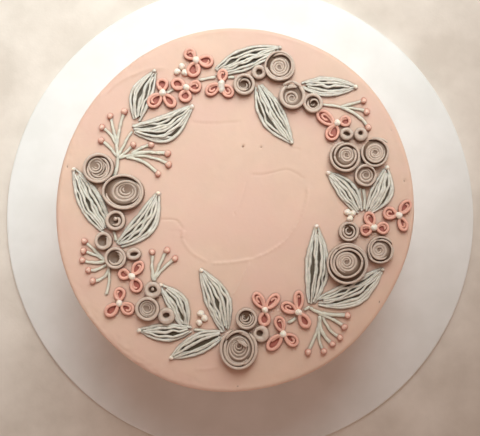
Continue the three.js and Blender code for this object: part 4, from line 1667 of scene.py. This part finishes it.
@dataclass(frozen=True)
class Dots:
    """The berries on the sprays, the pearls in and beside the flowers and the dots on leaf tips."""

    berry: Blob = Blob(1.9)
    pearl: Blob = Blob(1.95)
    flower_pearl_centre: float = 3.1
    loose_pearl_centre: float = 1.35
    leaf_dot_centre: float = 1.9

    def build_berries(self) -> None:
        """Makes a berry on the end of each stem that isn't bare."""
        draw = np.random.default_rng(900)
        draft = MeshDraft()
        for spray in SPRAYS:
            for stem in spray.stems:
                if not stem.bare:
                    self.berry.add(draft, stem.end, 1.5, draw)
        draft.build("berries", BERRY_CREAM.material(), Slot.PETAL)

    def build_pearls(self) -> None:
        """Makes a pearl in each flower, the loose pearls and the pale dots on leaf tips."""
        draw = np.random.default_rng(901)
        draft = MeshDraft()
        for flower in FLOWERS:
            self.pearl.add(draft, flower.at, self.flower_pearl_centre, draw)
            Blob(1.7, peak=0.0).add(draft, flower.at, 0.9, draw)
            for run in np.arange(0.8, flower.pearl_run, 0.8):
                self.pearl.add(draft, (flower.at[0], flower.at[1] - run), self.flower_pearl_centre - 0.2 * run, draw)
        for place in LOOSE_PEARLS:
            self.pearl.add(draft, place, self.loose_pearl_centre, draw)
        for leaf in LEAVES:
            if leaf.dot:
                Blob(leaf.dot).add(draft, leaf.point, self.leaf_dot_centre, draw)
        draft.build("pearls", PEARL_CREAM.material(), Slot.PETAL)


@dataclass(frozen=True)
class Wreath:
    """All that is piped on the cake's top."""

    @staticmethod
    def feet() -> np.ndarray:
        """Points where what is piped meets the frosting, in millimetres in plan."""
        found = []
        for piece in bpy.context.scene.objects:
            if piece.type == "MESH" and piece.name.startswith(("piped_", "berries", "pearls", "loose_stems")):
                places = np.empty(3 * len(piece.data.vertices))
                piece.data.vertices.foreach_get("co", places)
                places = places.reshape(-1, 3) / METRES
                found.append(places[np.abs(places[:, 2] - CAKE_TOP) < 0.8, :2])
        return np.concatenate(found)

    def build(self) -> None:
        """Makes every piped piece."""
        taupe, sage, coral, stem_cream = (
            finish.material() for finish in (TAUPE, SAGE, CORAL, STEM_CREAM)
        )
        for rose in ROSES:
            rose.build(taupe)
        for leaf in LEAVES:
            leaf.build(sage)
        for flower in FLOWERS:
            flower.build(coral)
        for spray in SPRAYS:
            spray.build(stem_cream)
        draw = np.random.default_rng(902)
        draft = MeshDraft()
        for stem in LOOSE_STEMS:
            stem.add(draft, draw)
        draft.build("loose_stems", stem_cream, Slot.SPRAY)
        Dots().build_berries()
        Dots().build_pearls()


# ---- Studio


@dataclass(frozen=True)
class Lamp:
    """A round soft light that is aimed at a place."""

    name: str
    place: tuple[float, float, float]
    aim: tuple[float, float, float]
    size: float
    spread: float
    power: float
    tint: Colour

    def add(self) -> None:
        """Adds the lamp, unseen by the camera."""
        data = bpy.data.lights.new(self.name, "AREA")
        data.shape = "DISK"
        data.size = self.size * METRES
        data.spread = self.spread
        data.energy = self.power
        data.color = self.tint
        lamp = bpy.data.objects.new(self.name, data)
        lamp.visible_camera = False
        lamp.location = Vector(self.place) * METRES
        aim = Vector(self.aim) * METRES - lamp.location
        lamp.rotation_euler = aim.to_track_quat("-Z", "Y").to_euler()
        bpy.context.scene.collection.objects.link(lamp)


@dataclass(frozen=True)
class Studio:
    """The camera over the cake, the soft light from behind it and the pale surface under it."""

    camera_place: tuple[float, float, float] = (21.7, -36.4, 753.0)
    looks_at: tuple[float, float, float] = (0.85, -0.9, 4.0)
    lens: float = 86.2
    lamps: tuple[Lamp, ...] = (
        Lamp("window", (-3, 420, 399), (-90, 219, 100), 588, math.radians(82), 0.92, (0.82, 0.973, 0.99)),
        Lamp("ceiling", (-14, 300, 375), (-47, 204, 100), 556, math.radians(40), 0.28, (0.86, 0.97, 0.99)),
        Lamp("front", (0, -1300, 190), (0, 0, 50), 420, math.radians(36), 0.1, (0.98, 0.97, 0.96)),
        Lamp("left", (-1300, 150, 190), (0, 0, 50), 420, math.radians(36), 0.12, (0.98, 0.97, 0.96)),
        Lamp("right", (1300, 150, 190), (0, 0, 50), 420, math.radians(36), 0.12, (0.98, 0.97, 0.96)),
    )
    room_tint: Colour = (1.0, 0.69, 0.54)
    room_strength: float = 0.29

    def add_camera(self) -> None:
        """Adds the camera, with +Y up in its picture."""
        place, target = Vector(self.camera_place) * METRES, Vector(self.looks_at) * METRES
        back = (place - target).normalized()
        right = Vector((0, 1, 0)).cross(back).normalized()
        up = back.cross(right)
        data = bpy.data.cameras.new("camera")
        data.lens = self.lens
        data.sensor_width = 36.0
        data.clip_start = 0.01
        camera = bpy.data.objects.new("camera", data)
        camera.matrix_world = Matrix.Translation(place) @ Matrix((right, up, back)).transposed().to_4x4()
        bpy.context.scene.collection.objects.link(camera)
        bpy.context.scene.camera = camera

    def add_lights(self) -> None:
        """Adds the lamps and the room's own light."""
        for lamp in self.lamps:
            lamp.add()
        world = bpy.data.worlds.new("room")
        world.use_nodes = True
        background = world.node_tree.nodes["Background"]
        background.inputs["Color"].default_value = (*self.room_tint, 1.0)
        background.inputs["Strength"].default_value = self.room_strength
        bpy.context.scene.world = world
        bpy.context.scene.view_settings.view_transform = "Standard"

    def add_floor(self) -> None:
        """Adds the plain surface that the board lies on."""
        reach = 3.0
        mesh = bpy.data.meshes.new("surface")
        corners = [(-reach, -reach, 0), (reach, -reach, 0), (reach, reach, 0), (-reach, reach, 0)]
        mesh.from_pydata(corners, [], [(0, 1, 2, 3)])
        mesh.materials.append(PalePlaster().material())
        floor = bpy.data.objects.new("surface", mesh)
        bpy.context.scene.collection.objects.link(floor)

    def build(self) -> None:
        """Sets up the camera, the lights and the floor."""
        self.add_camera()
        self.add_lights()
        self.add_floor()


def main() -> None:
    """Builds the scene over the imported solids, piece by piece."""
    logging.basicConfig(level=logging.INFO, format="%(name)s: %(message)s")
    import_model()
    Studio().build()
    Board().build()
    wreath = Wreath()
    wreath.build()
    Icing().build(wreath.feet())


if __name__ == "__main__":
    main()
